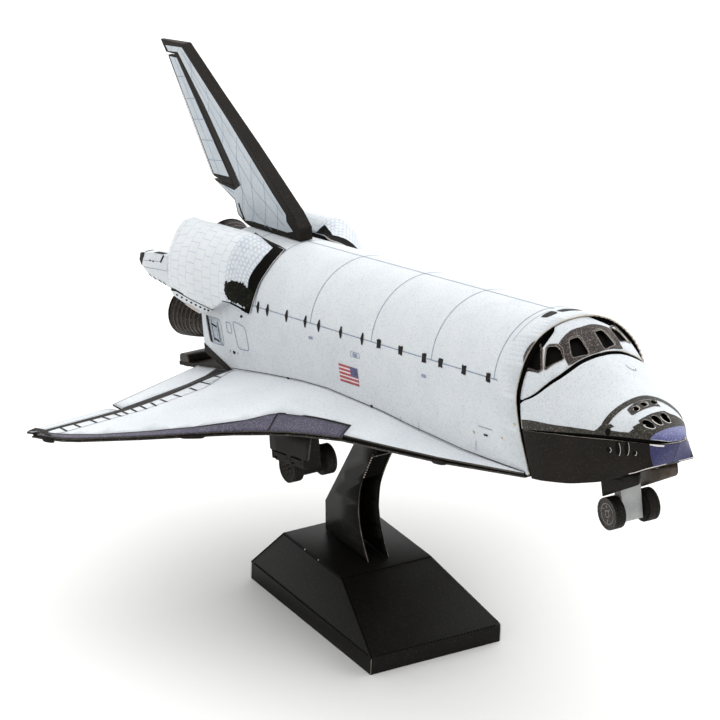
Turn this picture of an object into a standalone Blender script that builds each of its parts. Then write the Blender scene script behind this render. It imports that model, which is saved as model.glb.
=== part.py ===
# Folded sheet display model of a space shuttle orbiter, nose up on a folded sheet stand
#
# Metres, +Z up. The nose points along -Y, starboard is -X. The floor is z = 0.
# Places on the orbiter are given in millimetres of its own frame:
# s runs aft from the nose, x to starboard, z up from the belly.

import math

import bmesh
import bpy
from mathutils import Vector

# Driving dimensions, in millimetres and degrees
MM = 0.001
PITCH = 12.8                # nose-up attitude on the stand
BELLY_HEIGHT = 47.65        # belly plane above the floor at s = 0
SHEET = 0.25                # sheet metal thickness
GAP = 0.08                  # clearance between pieces that meet

BODY_HALF_WIDTH = 9.07
BODY_SIDE_TOP = 9.45        # where the flat side turns into the round top
BODY_TOP = 18.60
BODY_FRONT = 22.6
BODY_REAR = 103.0
BULKHEAD_REAR = 102.6
BODY_FLOOR = 0.38           # foot of the side wall above the belly plane

WING_TIP_X = 40.5
WING_TIP_DROOP = -1.4       # belly plane height at the wing tip
ELEVON_SPLIT_X = 27.6
ELEVON_SPLIT_GAP = 0.4
ELEVON_THICKNESS = 0.30

WHEEL_RADIUS = 2.05
WHEEL_INNER_X = 1.65
WHEEL_OUTER_X = 3.25
AXLE_RADIUS = 0.35
AXLE_CLEARANCE = 0.10
STRUT_HALF_WIDTH = 1.45
STRUT_DEPTH = 1.3           # from the axle down to the strut's foot
NOSE_AXLE = (14.45, 0.0, -4.25)
MAIN_AXLE = (73.2, 11.2, -7.05)

NOZZLE_EXIT_RADIUS = 3.8
NOZZLE_THROAT_RADIUS = 1.3
NOZZLE_LENGTH = 7.5
POD_NOZZLE_EXIT_RADIUS = 1.5
POD_NOZZLE_THROAT_RADIUS = 0.5
POD_NOZZLE_LENGTH = 2.8

BASE_REAR_Y = 85.65
BASE_FRONT_Y = 54.4
BASE_HALF_WIDTH = 10.1
BASE_RIM = 2.61
BASE_TOP_REAR_Y = 82.4
BASE_TOP_FRONT_Y = 67.6
BASE_TOP_HALF_WIDTH = 6.94
BASE_TOP = 7.74
ARM_HALF_WIDTH = 1.65

SIDES = (("starboard", 1.0), ("port", -1.0))


def clear_scene():
    for item in list(bpy.data.objects):
        bpy.data.objects.remove(item, do_unlink=True)


def principled(name, hex_colour, roughness, metallic=0.0):
    material = bpy.data.materials.new(name)
    material.use_nodes = True
    shader = material.node_tree.nodes["Principled BSDF"]
    channels = [int(hex_colour[i:i + 2], 16) / 255 for i in (0, 2, 4)]
    linear = [c / 12.92 if c <= 0.04045 else ((c + 0.055) / 1.055) ** 2.4 for c in channels]
    shader.inputs["Base Color"].default_value = (*linear, 1.0)
    shader.inputs["Roughness"].default_value = roughness
    shader.inputs["Metallic"].default_value = metallic
    return material


def empty(name, parent=None):
    item = bpy.data.objects.new(name, None)
    bpy.context.scene.collection.objects.link(item)
    item.parent = parent
    return item


def local(s, x, z):
    """A place of the orbiter's frame, in metres, as seen from its empty."""
    return Vector((-x * MM, s * MM, z * MM))


def world(x, y, z):
    return Vector((x * MM, y * MM, z * MM))


def add_mesh(name, points, faces, material, parent, smooth_angle=None):
    mesh = bpy.data.meshes.new(name)
    mesh.from_pydata([tuple(p) for p in points], [], faces)
    item = bpy.data.objects.new(name, mesh)
    bpy.context.scene.collection.objects.link(item)
    item.parent = parent
    mesh.materials.append(material)
    shape = bmesh.new()
    shape.from_mesh(mesh)
    bmesh.ops.remove_doubles(shape, verts=shape.verts, dist=1e-6)
    bmesh.ops.recalc_face_normals(shape, faces=shape.faces)
    shape.to_mesh(mesh)
    shape.free()
    if smooth_angle is not None:
        mesh.shade_smooth()
        mesh.set_sharp_from_angle(angle=math.radians(smooth_angle))
    return item


def loft(name, rings, material, parent, smooth_angle=None):
    """Closed body through rings of equal count, capped at both ends."""
    count = len(rings[0])
    points = [p for ring in rings for p in ring]
    faces = []
    for row in range(len(rings) - 1):
        for i in range(count):
            j = (i + 1) % count
            faces.append((row * count + i, row * count + j,
                          (row + 1) * count + j, (row + 1) * count + i))
    faces.append(tuple(range(count)))
    faces.append(tuple(range((len(rings) - 1) * count, len(rings) * count)))
    return add_mesh(name, points, faces, material, parent, smooth_angle)


def triangulate(item):
    """Splits faces with corners off one plane, so that every later tool splits them alike."""
    shape = bmesh.new()
    shape.from_mesh(item.data)
    bmesh.ops.triangulate(shape, faces=shape.faces)
    shape.to_mesh(item.data)
    shape.free()


def prism(name, outline, low_x, high_x, material, parent):
    """Plate with an (s, z) outline between two x places of the orbiter's frame."""
    rings = [[local(s, x, z) for s, z in outline] for x in (low_x, high_x)]
    return loft(name, rings, material, parent)


def folded_sheet(name, points, faces, outward, material, parent, smooth_angle=None):
    """Sheet whose outer face is the given surface; outward tells its outer side."""
    item = add_mesh(name, points, faces, material, parent, smooth_angle)
    shape = bmesh.new()
    shape.from_mesh(item.data)
    area_normal = sum((f.normal * f.calc_area() for f in shape.faces), Vector())
    if area_normal.dot(Vector(outward)) < 0:
        bmesh.ops.reverse_faces(shape, faces=shape.faces)
    shape.to_mesh(item.data)
    shape.free()
    solidify = item.modifiers.new("Sheet", 'SOLIDIFY')
    solidify.thickness = SHEET * MM
    solidify.offset = -1.0
    solidify.use_even_offset = True
    return item


def grid(rows):
    """Points and quads of a surface given as rows of equal count."""
    count = len(rows[0])
    points = [p for row in rows for p in row]
    faces = [(r * count + i, r * count + i + 1, (r + 1) * count + i + 1, (r + 1) * count + i)
             for r in range(len(rows) - 1) for i in range(count - 1)]
    return points, faces


def interpolate(table, at):
    """Straight-line reading of a table of (place, value) pairs."""
    if at <= table[0][0]:
        return table[0][1]
    for (a, va), (b, vb) in zip(table, table[1:]):
        if at <= b:
            return va + (vb - va) * (at - a) / (b - a)
    return table[-1][1]


def cut(item, cutter):
    cutter.hide_render = True
    cutter.display_type = 'WIRE'
    boolean = item.modifiers.new("Cut " + cutter.name, 'BOOLEAN')
    boolean.operation = 'DIFFERENCE'
    boolean.solver = 'EXACT'
    boolean.object = cutter


def arch(half_width, side_top, top, foot, steps=24):
    """Body section from the starboard foot over the round top to the port foot."""
    section = [(half_width, foot), (half_width, side_top)]
    rise = top - side_top
    for i in range(1, steps):
        turn = math.pi * i / steps
        section.append((half_width * math.cos(turn), side_top + rise * math.sin(turn)))
    section += [(-half_width, side_top), (-half_width, foot)]
    return section


# Forebody outlines along s, all in millimetres
HALF_WIDTHS = ((2.3, 0.3), (2.5, 1.1), (2.84, 1.9), (3.83, 3.2), (5.27, 4.2), (8.32, 5.6),
               (11.29, 6.6), (14.25, 7.4), (17.3, 8.1), (20.27, 8.6), (22.6, 9.0))
BELLY_EDGES = ((2.3, 4.3), (2.9, 3.9), (4.5, 3.36), (6.2, 2.67), (9.0, 1.83), (11.2, 0.94),
               (14.0, 0.39), (16.8, 0.06), (22.6, 0.0))
CHINES = ((2.3, 6.0), (2.9, 6.3), (4.0, 6.63), (9.5, 6.93), (16.2, 6.6), (22.6, 6.1))
TOPS = ((2.3, 6.3), (2.5, 6.75), (2.84, 7.1), (3.83, 7.5), (4.7, 7.8), (7.0, 9.1),
        (10.2, 10.65), (14.0, 12.65), (17.5, 14.8), (20.2, 17.1), (22.6, 18.3))
FOREBODY_STATIONS = (2.3, 2.5, 2.84, 3.3, 3.83, 4.5, 5.27, 6.7, 8.32, 10.2, 11.29, 13.0,
                     14.25, 16.0, 17.3, 18.7, 20.2, 21.3, 22.4)
SEAM_FOOT = (22.6, 9.4)     # (s, z) where the crown's front edge meets the body side
SEAM_CROWN = (17.6, 14.8)   # (s, z) where that edge crosses the centre line
HOOD_FULLNESS = 0.82        # 1 would be an elliptical section, less is squarer
HOOD_STEPS = 22


def build_fuselage(orbiter, white, black):
    stations = ((BODY_FRONT, BODY_FLOOR), (28.0, BODY_FLOOR), (94.8, BODY_FLOOR),
                (BODY_REAR, 2.6))
    rows = [[local(s, x, z) for x, z in arch(BODY_HALF_WIDTH, BODY_SIDE_TOP, BODY_TOP, foot)]
            for s, foot in stations]
    points, faces = grid(rows)
    folded_sheet("fuselage_shell", points, faces, (0, 0, 1), white, orbiter, 25)

    inner = BODY_HALF_WIDTH - SHEET - GAP
    top = BODY_TOP - SHEET - GAP
    for name, s, foot, material in (("cockpit_bulkhead", 23.4, BODY_FLOOR, black),
                                    ("aft_bulkhead", BULKHEAD_REAR - SHEET, 2.7, black)):
        section = arch(inner, BODY_SIDE_TOP, top, foot)
        rings = [[local(s + d, x, z) for x, z in section] for d in (0.0, SHEET)]
        loft(name, rings, material, orbiter)


def hood_place(s, turn):
    """Place on the hood's outer face at an angle in degrees from starboard over the top."""
    angle = math.radians(turn)
    half_width = interpolate(HALF_WIDTHS, s)
    chine = interpolate(CHINES, s) + GAP
    rise = interpolate(TOPS, s) - chine
    across = math.copysign(abs(math.cos(angle)) ** HOOD_FULLNESS, math.cos(angle))
    return local(s, half_width * across, chine + rise * abs(math.sin(angle)) ** HOOD_FULLNESS)


def side_of_seam(item, keep_crown):
    """Keeps the part of the hood behind or before the crown's front edge."""
    (foot_s, foot_z), (crown_s, crown_z) = SEAM_FOOT, SEAM_CROWN
    along = Vector((0, crown_s - foot_s, crown_z - foot_z)).normalized()
    normal = Vector((0, along.z, -along.y))
    shift = GAP if keep_crown else -GAP
    place = local(foot_s, 0, foot_z) + normal * shift * MM
    shape = bmesh.new()
    shape.from_mesh(item.data)
    bmesh.ops.bisect_plane(shape, geom=shape.verts[:] + shape.edges[:] + shape.faces[:],
                           plane_co=place, plane_no=normal, dist=1e-7,
                           clear_inner=keep_crown, clear_outer=not keep_crown)
    shape.to_mesh(item.data)
    shape.free()


# Openings in the hood, each with its corners as (s, angle from starboard over the top)
WINDOWS = (((22.1, 36.5), (20.8, 37.0), (21.5, 48.5), (22.1, 48.5)),
           ((20.3, 38.5), (19.3, 55.0), (20.4, 60.0), (21.3, 54.5)),
           ((18.65, 67.8), (18.1, 80.0), (19.5, 82.0), (19.9, 75.0)))
THRUSTER_PORTS = (((8.3, 78.0), (8.9, 78.0), (8.9, 73.0), (8.3, 73.0)),)


def opening(name, corners, sign, material, orbiter):
    """Cutter through the hood's sheet with the given corners."""
    places = [hood_place(s, turn if sign > 0 else 180.0 - turn) for s, turn in corners]
    normal = (places[2] - places[0]).cross(places[3] - places[1]).normalized() * MM
    return loft(name, [[p - normal for p in places], [p + normal for p in places]],
                material, orbiter)


def build_forebody(orbiter, white, black):
    rows = [[hood_place(s, 180.0 * i / HOOD_STEPS) for i in range(HOOD_STEPS + 1)]
            for s in FOREBODY_STATIONS]
    points, faces = grid(rows)
    cone = folded_sheet("nose_cone_upper", points, faces, (0, -0.2, 1), white, orbiter, 30)
    side_of_seam(cone, False)
    crown = folded_sheet("cockpit_crown", points, faces, (0, -0.2, 1), white, orbiter, 30)
    side_of_seam(crown, True)
    for item, openings in ((crown, WINDOWS), (cone, THRUSTER_PORTS)):
        for row, corners in enumerate(openings):
            for side, sign in SIDES:
                cut(item, opening("%s_opening_%d_%s" % (item.name, row, side), corners, sign,
                                  black, orbiter))

    rows = []
    for s in FOREBODY_STATIONS:
        half_width = interpolate(HALF_WIDTHS, s)
        chine = interpolate(CHINES, s) - GAP
        belly = interpolate(BELLY_EDGES, s)
        drop = chine - belly
        section = [(half_width, chine), (half_width * 0.99, chine - drop * 0.6),
                   (half_width * 0.93, chine - drop * 0.88), (half_width * 0.82, belly)]
        section += [(-x, z) for x, z in reversed(section)]
        rows.append([local(s, x, z) for x, z in section])
    points, faces = grid(rows)
    folded_sheet("nose_lower", points, faces, (0, -0.2, -1), black, orbiter, 40)


def wing_floor(x):
    """Height of the lower skin, which droops from the body side to the tip."""
    out = max(0.0, x - BODY_HALF_WIDTH)
    return WING_TIP_DROOP * out / (WING_TIP_X - BODY_HALF_WIDTH)


# Outline of the lower skin in plan, (s, x), from the body to the wing tip
LOWER_EDGE = ((22.8, 9.3), (37.2, 12.6), (48.9, 14.3), (56.4, 15.3), (63.1, 17.6), (67.4, 19.9),
              (71.4, 22.9), (75.5, 26.9), (80.3, 31.8), (85.0, 36.0), (86.7, 37.5), (88.8, 38.8),
              (91.2, 39.7), (93.3, 40.2))
# Outline of the upper skin, (s, x, height); from the second corner at 57.9 it meets the
# leading edge strip
UPPER_EDGE = ((23.0, 9.35, 0.62), (37.2, 12.5, 0.62), (48.9, 14.2, 0.62), (56.2, 15.1, 0.62),
              (57.9, 12.9, 1.10), (64.8, 14.0, 1.20), (70.7, 16.3, 1.20), (72.4, 20.4, 0.80),
              (76.9, 26.0, 0.20), (81.7, 30.9, -0.25), (86.0, 35.2, -0.50), (88.0, 36.5, -0.58),
              (89.6, 37.6, -0.62), (91.5, 38.5, -0.66), (94.2, 39.5, -0.70))
# The strip's upper edge, one place for each lower place from 56.4 on
STRIP_EDGE = ((57.9, 13.0, 1.10), (64.8, 14.15, 1.20), (70.6, 16.45, 1.20), (72.3, 20.5, 0.80),
              (76.8, 26.15, 0.20), (81.6, 31.05, -0.25), (85.9, 35.35, -0.50), (87.9, 36.7, -0.58),
              (89.5, 37.75, -0.62), (91.4, 38.65, -0.66), (93.1, 39.5, -0.69))
STRIP_FIRST = 3
ROOT_LINE = ((23.0, 0.62), (37.2, 0.75), (48.9, 1.6), (56.2, 2.35), (57.9, 2.45), (64.8, 2.8),
             (70.7, 3.0), (72.4, 3.0), (76.9, 2.85), (81.7, 2.6), (86.0, 2.25), (88.0, 2.1),
             (89.6, 1.95), (91.5, 1.75), (95.8, 1.40))
HINGE_S = ((9.1, 96.0), (27.2, 93.3), (40.5, 94.4))
MIDDLE_X = 27.2             # where the hinge line bends
MIDDLE_HINGE_TOP = 0.0
HINGE_TOP = ((9.1, 1.38), (27.2, 0.10), (27.9, -0.15), (40.2, -0.70))
TRAILING_S = ((9.3, 105.1), (27.4, 96.0), (27.8, 97.0), (40.2, 96.4))
TRAILING_TOP = ((9.3, 0.44), (27.4, 0.30), (27.8, -0.45), (40.2, -0.95))


def build_wings(orbiter, white, black, edge_grey):
    hinge_tip = (interpolate(HINGE_S, WING_TIP_X) - GAP, WING_TIP_X)
    hinge_root = (interpolate(HINGE_S, BODY_HALF_WIDTH) - GAP, BODY_HALF_WIDTH)
    outer = list(LOWER_EDGE) + [hinge_tip]
    inner = [(s, BODY_HALF_WIDTH) for s, _ in LOWER_EDGE] + [hinge_root]
    rows = [[local(s, x, wing_floor(x)) for s, x in outer],
            [local(s, x, 0.0) for s, x in inner],
            [local(s, -x, 0.0) for s, x in inner],
            [local(s, -x, wing_floor(x)) for s, x in outer]]
    points, faces = grid(rows)
    folded_sheet("belly_and_lower_wings", points, faces, (0, 0, -1), black, orbiter)

    lift = 2 * SHEET + GAP
    for side, sign in SIDES:
        root = [(s, BODY_HALF_WIDTH + GAP, z) for s, z in ROOT_LINE]
        middle = []
        for edge, inner in zip(UPPER_EDGE, root):
            share = min(0.5, (MIDDLE_X - BODY_HALF_WIDTH) / (edge[1] - BODY_HALF_WIDTH + GAP))
            middle.append(tuple(a + (b - a) * share for a, b in zip(inner, edge)))
        middle[-1] = (interpolate(HINGE_S, MIDDLE_X) - GAP, MIDDLE_X, MIDDLE_HINGE_TOP)
        rows = [[local(s, sign * x, z) for s, x, z in line]
                for line in (UPPER_EDGE, middle, root)]
        points, faces = grid(rows)
        folded_sheet("wing_upper_" + side, points, faces, (0, 0, 1), white, orbiter)

        foot = [(s, x, wing_floor(x) + lift) for s, x in LOWER_EDGE[STRIP_FIRST:]]
        rows = [[local(s, sign * x, z) for s, x, z in line] for line in (foot, STRIP_EDGE)]
        points, faces = grid(rows)
        folded_sheet("leading_edge_" + side, points, faces, (-sign, -1, 0.3), edge_grey, orbiter)


def elevon(name, sign, x_in, x_out, material, orbiter):
    rings = []
    for x in (x_in, x_out):
        front = interpolate(HINGE_S, x) + GAP
        rear = interpolate(TRAILING_S, x)
        front_top = interpolate(HINGE_TOP, x)
        rear_top = interpolate(TRAILING_TOP, x)
        rings.append([local(front, sign * x, front_top - ELEVON_THICKNESS),
                      local(rear, sign * x, rear_top - ELEVON_THICKNESS),
                      local(rear, sign * x, rear_top), local(front, sign * x, front_top)])
    return loft(name, rings, material, orbiter)


def build_elevons(orbiter, white, black):
    half_gap = ELEVON_SPLIT_GAP / 2
    for side, sign in SIDES:
        elevon("elevon_inner_" + side, sign, BODY_HALF_WIDTH + 0.3,
               ELEVON_SPLIT_X - half_gap, white, orbiter)
        elevon("elevon_outer_" + side, sign, ELEVON_SPLIT_X + half_gap, 40.2, white, orbiter)
    outline = ((96.2, 0.0), (113.7, -1.2), (113.7, -0.7), (96.2, 0.9))
    prism("body_flap", outline, -7.6, 7.6, black, orbiter)


# Fin and rudder outlines, (s, z, half thickness)
FIN_OUTLINE = ((88.3, BODY_TOP + GAP, 0.95), (88.2, 20.4, 0.95), (90.0, 22.3, 0.93),
               (100.4, 30.3, 0.80), (108.3, 36.0, 0.72), (116.9, 42.5, 0.62),
               (124.1, 42.4, 0.26), (122.8, 40.7, 0.26), (118.7, 40.7, 0.45),
               (106.2, 23.7, 0.45), (112.3, 24.05, 0.26), (106.75, 21.8, 0.32),
               (106.1, 19.9, 0.38), (104.3, 19.0, 0.42), (103.0, BODY_TOP + GAP, 0.45))
RUDDER_OUTLINE = ((106.9, 24.2, 0.42), (118.9, 40.4, 0.42), (122.2, 40.4, 0.26),
                  (112.3, 24.5, 0.26))


def build_fin(orbiter, white):
    for name, outline in (("fin", FIN_OUTLINE), ("rudder", RUDDER_OUTLINE)):
        rings = [[local(s, sign * half, z) for s, z, half in outline] for sign in (1.0, -1.0)]
        item = loft(name, rings, white, orbiter)
        triangulate(item)


# Pod sections from the lower edge over the crest to the inner foot
POD_FRONT = ((10.64, 10.99, 87.0), (10.24, 12.56, 86.5), (9.50, 14.40, 86.1), (8.75, 15.60, 85.9),
             (8.10, 16.40, 85.6), (7.20, 17.50, 85.2), (6.40, 18.30, 84.8), (5.70, 18.90, 84.5),
             (5.25, 18.10, 84.7))
POD_MIDDLE = ((10.70, 10.50), (10.85, 12.50), (10.60, 15.00), (9.90, 17.20), (8.60, 19.00),
              (7.30, 19.95), (6.00, 20.15), (4.90, 19.60), (3.90, 18.30))
POD_REAR = ((10.20, 10.60), (10.50, 12.80), (10.40, 14.60), (10.00, 16.20), (9.20, 17.70),
            (8.30, 19.00), (7.00, 20.00), (5.80, 20.10), (4.60, 19.40))
POD_MIDDLE_S = 92.0
POD_LONG_S = 103.0
POD_REAR_S = 109.0
POD_FOOT_INSET = 0.5        # how far the crest side's foot leans towards the body


def body_surface(x, z):
    """Nearest place of the fuselage section, just off its skin, to (x, z)."""
    if z <= BODY_SIDE_TOP:
        return BODY_HALF_WIDTH + GAP, z
    radius = BODY_TOP - BODY_SIDE_TOP + GAP
    away = math.hypot(x, z - BODY_SIDE_TOP)
    return x * radius / away, BODY_SIDE_TOP + (z - BODY_SIDE_TOP) * radius / away


def pod_sections():
    """Outer faces of the pod from its raked open-looking front to its rear."""
    middle = [(x, z, POD_MIDDLE_S) for x, z in POD_MIDDLE]
    half = [((ax + bx) / 2 + 0.1, (az + bz) / 2 + 0.15, (a + b) / 2)
            for (ax, az, a), (bx, bz, b) in zip(POD_FRONT, middle)]
    long = [(x, z, POD_LONG_S) for x, z in POD_MIDDLE]
    rear = [(x, z, POD_REAR_S) for x, z in POD_REAR]
    return [list(POD_FRONT), half, middle, long, rear]


def build_pods(orbiter, white):
    for side, sign in SIDES:
        rings = []
        for section in pod_sections():
            inner = []
            for x, z, s in section:
                bx, bz = body_surface(x, z)
                inner.append((bx, bz, s))
            ring = section + inner[::-1]
            rings.append([local(s, sign * x, z) for x, z, s in ring])
        item = loft("oms_pod_" + side, rings, white, orbiter)
        triangulate(item)
        item.data.shade_smooth()
        item.data.set_sharp_from_angle(angle=math.radians(30))

        corners = ((8.7, 11.4), (10.4, 11.4), (10.4, 15.0), (8.7, 15.0))
        rings = [[local(POD_REAR_S + GAP, sign * x, z) for x, z in corners],
                 [local(114.6, sign * x, z) for x, z in corners],
                 [local(117.3, sign * x, z * 0.6 + 0.4 * 13.6) for x, z in corners]]
        loft("rcs_stinger_" + side, rings, white, orbiter)


def nozzle(name, throat, exit_radius, length, neck, tilt, cant, place, material, orbiter):
    """Bell open at its mouth on a round neck, its axis along +Y before tilt and cant."""
    steps = 24
    outer = [(throat * 1.5, -neck), (throat * 1.5, -0.3 * throat)]
    for i in range(9):
        t = i / 8
        outer.append((throat + (exit_radius - throat) * t ** 0.62, length * t))
    inner = [(max(r - SHEET, 0.2), y) for r, y in reversed(outer[3:])]
    rings = []
    for r, y in outer + inner:
        rings.append([Vector((r * math.cos(2 * math.pi * k / steps), y,
                              r * math.sin(2 * math.pi * k / steps))) * MM
                      for k in range(steps)])
    item = loft(name, rings, material, orbiter, 40)
    item.location = local(*place)
    item.rotation_euler = (math.radians(tilt), 0.0, math.radians(cant))
    return item


def build_engines(orbiter, bell):
    nozzle("engine_nozzle_top", NOZZLE_THROAT_RADIUS, NOZZLE_EXIT_RADIUS, NOZZLE_LENGTH,
           1.0, 14.0, 0.0, (BULKHEAD_REAR + 1.6, 0.0, 13.1), bell, orbiter)
    for side, sign in SIDES:
        nozzle("engine_nozzle_" + side, NOZZLE_THROAT_RADIUS, NOZZLE_EXIT_RADIUS,
               NOZZLE_LENGTH, 4.4, 8.0, 3.0 * sign,
               (BULKHEAD_REAR + 4.9, 4.2 * sign, 5.0), bell, orbiter)
        nozzle("oms_nozzle_" + side, POD_NOZZLE_THROAT_RADIUS, POD_NOZZLE_EXIT_RADIUS,
               POD_NOZZLE_LENGTH, 0.3, 10.0, 4.0 * sign, (109.6, 6.9 * sign, 16.2),
               bell, orbiter)


def wheel_pair(name, place, material, orbiter):
    """Two wheels on one axle; the object's origin lies on the axle's line."""
    profile = ((WHEEL_RADIUS, -WHEEL_OUTER_X), (WHEEL_RADIUS, -WHEEL_INNER_X),
               (AXLE_RADIUS, -WHEEL_INNER_X), (AXLE_RADIUS, WHEEL_INNER_X),
               (WHEEL_RADIUS, WHEEL_INNER_X), (WHEEL_RADIUS, WHEEL_OUTER_X))
    steps = 20
    rings = [[Vector((x, r * math.cos(2 * math.pi * k / steps),
                      r * math.sin(2 * math.pi * k / steps))) * MM for k in range(steps)]
             for r, x in profile]
    item = loft(name, rings, material, orbiter, 40)
    item.location = local(*place)
    return item


def strut(name, place, top, material, orbiter):
    """Leg between the wheels, with an eye that the axle turns in."""
    s, x, z = place
    front, rear = s - 0.75, s + 0.75
    foot = z - STRUT_DEPTH
    outline = ((front, top), (front, foot), (rear, foot), (rear, top))
    leg = prism(name, outline, x - STRUT_HALF_WIDTH, x + STRUT_HALF_WIDTH, material, orbiter)
    bore = AXLE_RADIUS + AXLE_CLEARANCE
    steps = 20
    rings = [[local(s + bore * math.cos(2 * math.pi * k / steps), x + d,
                    z + bore * math.sin(2 * math.pi * k / steps)) for k in range(steps)]
             for d in (-3.0, 3.0)]
    cut(leg, loft(name + "_eye", rings, material, orbiter))


NOSE_DOOR_X = 2.7
NOSE_DOOR_FRONT = (5.8, 0.55)       # (s, z) of the door's lower corners
NOSE_DOOR_REAR = (15.8, -1.95)
MAIN_DOOR_X = 16.7
MAIN_DOOR_FOOT = ((72.9, -3.9), (63.2, -3.8))
BRACKET_X = 14.85
BRACKET_INNER_X = 12.6
BRACKET_FRONT = 67.2
BRACKET_REAR = 75.3
BRACKET_FOOT = -6.2


def build_gear(orbiter, black, grey):
    wheel_pair("nose_wheels", NOSE_AXLE, black, orbiter)
    strut("nose_strut", NOSE_AXLE, interpolate(BELLY_EDGES, NOSE_AXLE[0]) - GAP, grey, orbiter)
    for side, sign in SIDES:
        x = NOSE_DOOR_X * sign
        roof = [(s, interpolate(BELLY_EDGES, s) - GAP - SHEET) for s in (15.9, 12.0, 9.0, 6.2, 5.6)]
        outline = [NOSE_DOOR_FRONT, NOSE_DOOR_REAR] + roof
        prism("nose_gear_door_" + side, outline, x - SHEET / 2, x + SHEET / 2, black, orbiter)

        axle = (MAIN_AXLE[0], MAIN_AXLE[1] * sign, MAIN_AXLE[2])
        wheel_pair("main_wheels_" + side, axle, black, orbiter)
        roof = wing_floor(MAIN_AXLE[1] + STRUT_HALF_WIDTH) - GAP
        strut("main_strut_" + side, axle, roof, black, orbiter)

        x = MAIN_DOOR_X * sign
        roof = wing_floor(MAIN_DOOR_X + SHEET) - GAP
        outline = ((61.9, roof), (72.7, roof)) + MAIN_DOOR_FOOT
        prism("main_gear_door_" + side, outline, x - SHEET / 2, x + SHEET / 2, black, orbiter)

        roof = wing_floor(BRACKET_X) - GAP
        path = ((BRACKET_REAR, BRACKET_X), (BRACKET_FRONT, BRACKET_X),
                (BRACKET_FRONT, BRACKET_INNER_X))
        rows = [[local(s, sign * x, z) for s, x in path] for z in (roof, BRACKET_FOOT)]
        points, faces = grid(rows)
        folded_sheet("main_gear_bracket_" + side, points, faces, (-sign, -1, 0), black, orbiter)


def frustum(inset, floor, top_gap):
    """Stand outline as rings from the floor up, drawn in by inset."""
    rings = []
    for front, rear, half, z in (
            (BASE_FRONT_Y, BASE_REAR_Y, BASE_HALF_WIDTH, floor),
            (BASE_FRONT_Y, BASE_REAR_Y, BASE_HALF_WIDTH, BASE_RIM),
            (BASE_TOP_FRONT_Y, BASE_TOP_REAR_Y, BASE_TOP_HALF_WIDTH, BASE_TOP - top_gap)):
        rings.append([world(x, y, z) for x, y in (
            (-half + inset, front + inset), (half - inset, front + inset),
            (half - inset, rear - inset), (-half + inset, rear - inset))])
    return rings


def build_stand(root, black):
    outer = frustum(0.0, 0.0, 0.0)
    inner = frustum(SHEET, 0.0, SHEET)
    rings = outer[::-1] + inner
    count = 4
    points = [p for ring in rings for p in ring]
    faces = []
    for row in (0, 1, 3, 4, 2):
        for i in range(count):
            j = (i + 1) % count
            faces.append((row * count + i, row * count + j,
                          (row + 1) * count + j, (row + 1) * count + i))
    faces.append(tuple(range(count)))
    faces.append(tuple(range(5 * count, 6 * count)))
    add_mesh("stand_base", points, faces, black, root)

    inset = SHEET + GAP
    ring = [(-BASE_HALF_WIDTH + inset, BASE_FRONT_Y + inset),
            (BASE_HALF_WIDTH - inset, BASE_FRONT_Y + inset),
            (BASE_HALF_WIDTH - inset, BASE_REAR_Y - inset),
            (-BASE_HALF_WIDTH + inset, BASE_REAR_Y - inset)]
    rings = [[world(x, y, z) for x, y in ring] for z in (0.0, SHEET)]
    loft("stand_bottom_plate", rings, black, root)

    build_arm(root, black)


# Side view of the arm, (y, z) on the stand, from the foot up; None is the belly's height
ARM_FRONT = ((69.4, 7.82), (70.9, 10.2), (71.9, 12.4), (72.35, 14.6), (72.2, 17.0), (71.5, 19.3),
             (69.6, 23.2), (67.6, 27.2), (65.9, None))
ARM_REAR = ((80.4, 7.82), (80.7, 12.1), (74.2, 23.0), (69.6, None))
WEB_ROWS = (5, 6)           # rows of the front edge that the folded web spans


def belly_height(y):
    """Height over the floor of the belly plane at y of the stand."""
    return BELLY_HEIGHT - math.tan(math.radians(PITCH)) * y


def arm_edge(rows):
    lift = GAP / math.cos(math.radians(PITCH))
    return [(y, belly_height(y) - lift if z is None else z) for y, z in rows]


def build_arm(root, black):
    half = ARM_HALF_WIDTH
    front = arm_edge(ARM_FRONT)
    rear = arm_edge(ARM_REAR)
    outline = front + rear[::-1]
    for side, sign in SIDES:
        rings = [[world(-sign * x, y, z) for y, z in outline] for x in (half, half - SHEET)]
        loft("stand_arm_cheek_" + side, rings, black, root)

    inner = half - SHEET - GAP
    rings = [[world(x, y - back, z) for x, back in ((-inner, 0.0), (inner, 0.0),
                                                    (inner, SHEET), (-inner, SHEET))]
             for y, z in rear]
    loft("stand_arm_spine", rings, black, root)
    low, high = (front[row] for row in WEB_ROWS)
    rings = [[world(x, y + back, z) for x, back in ((-inner, 0.0), (inner, 0.0),
                                                    (inner, SHEET), (-inner, SHEET))]
             for y, z in (low, high)]
    loft("stand_arm_web", rings, black, root)


def centre_on_bounds(root):
    """Moves the whole model along Y until its bounding box is centred on the origin."""
    bpy.context.view_layer.update()
    low, high = math.inf, -math.inf
    for item in bpy.context.scene.objects:
        if item.type != 'MESH' or item.hide_render:
            continue
        for vertex in item.data.vertices:
            y = (item.matrix_world @ vertex.co).y
            low, high = min(low, y), max(high, y)
    root.location.y -= (low + high) / 2
    bpy.context.view_layer.update()


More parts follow.
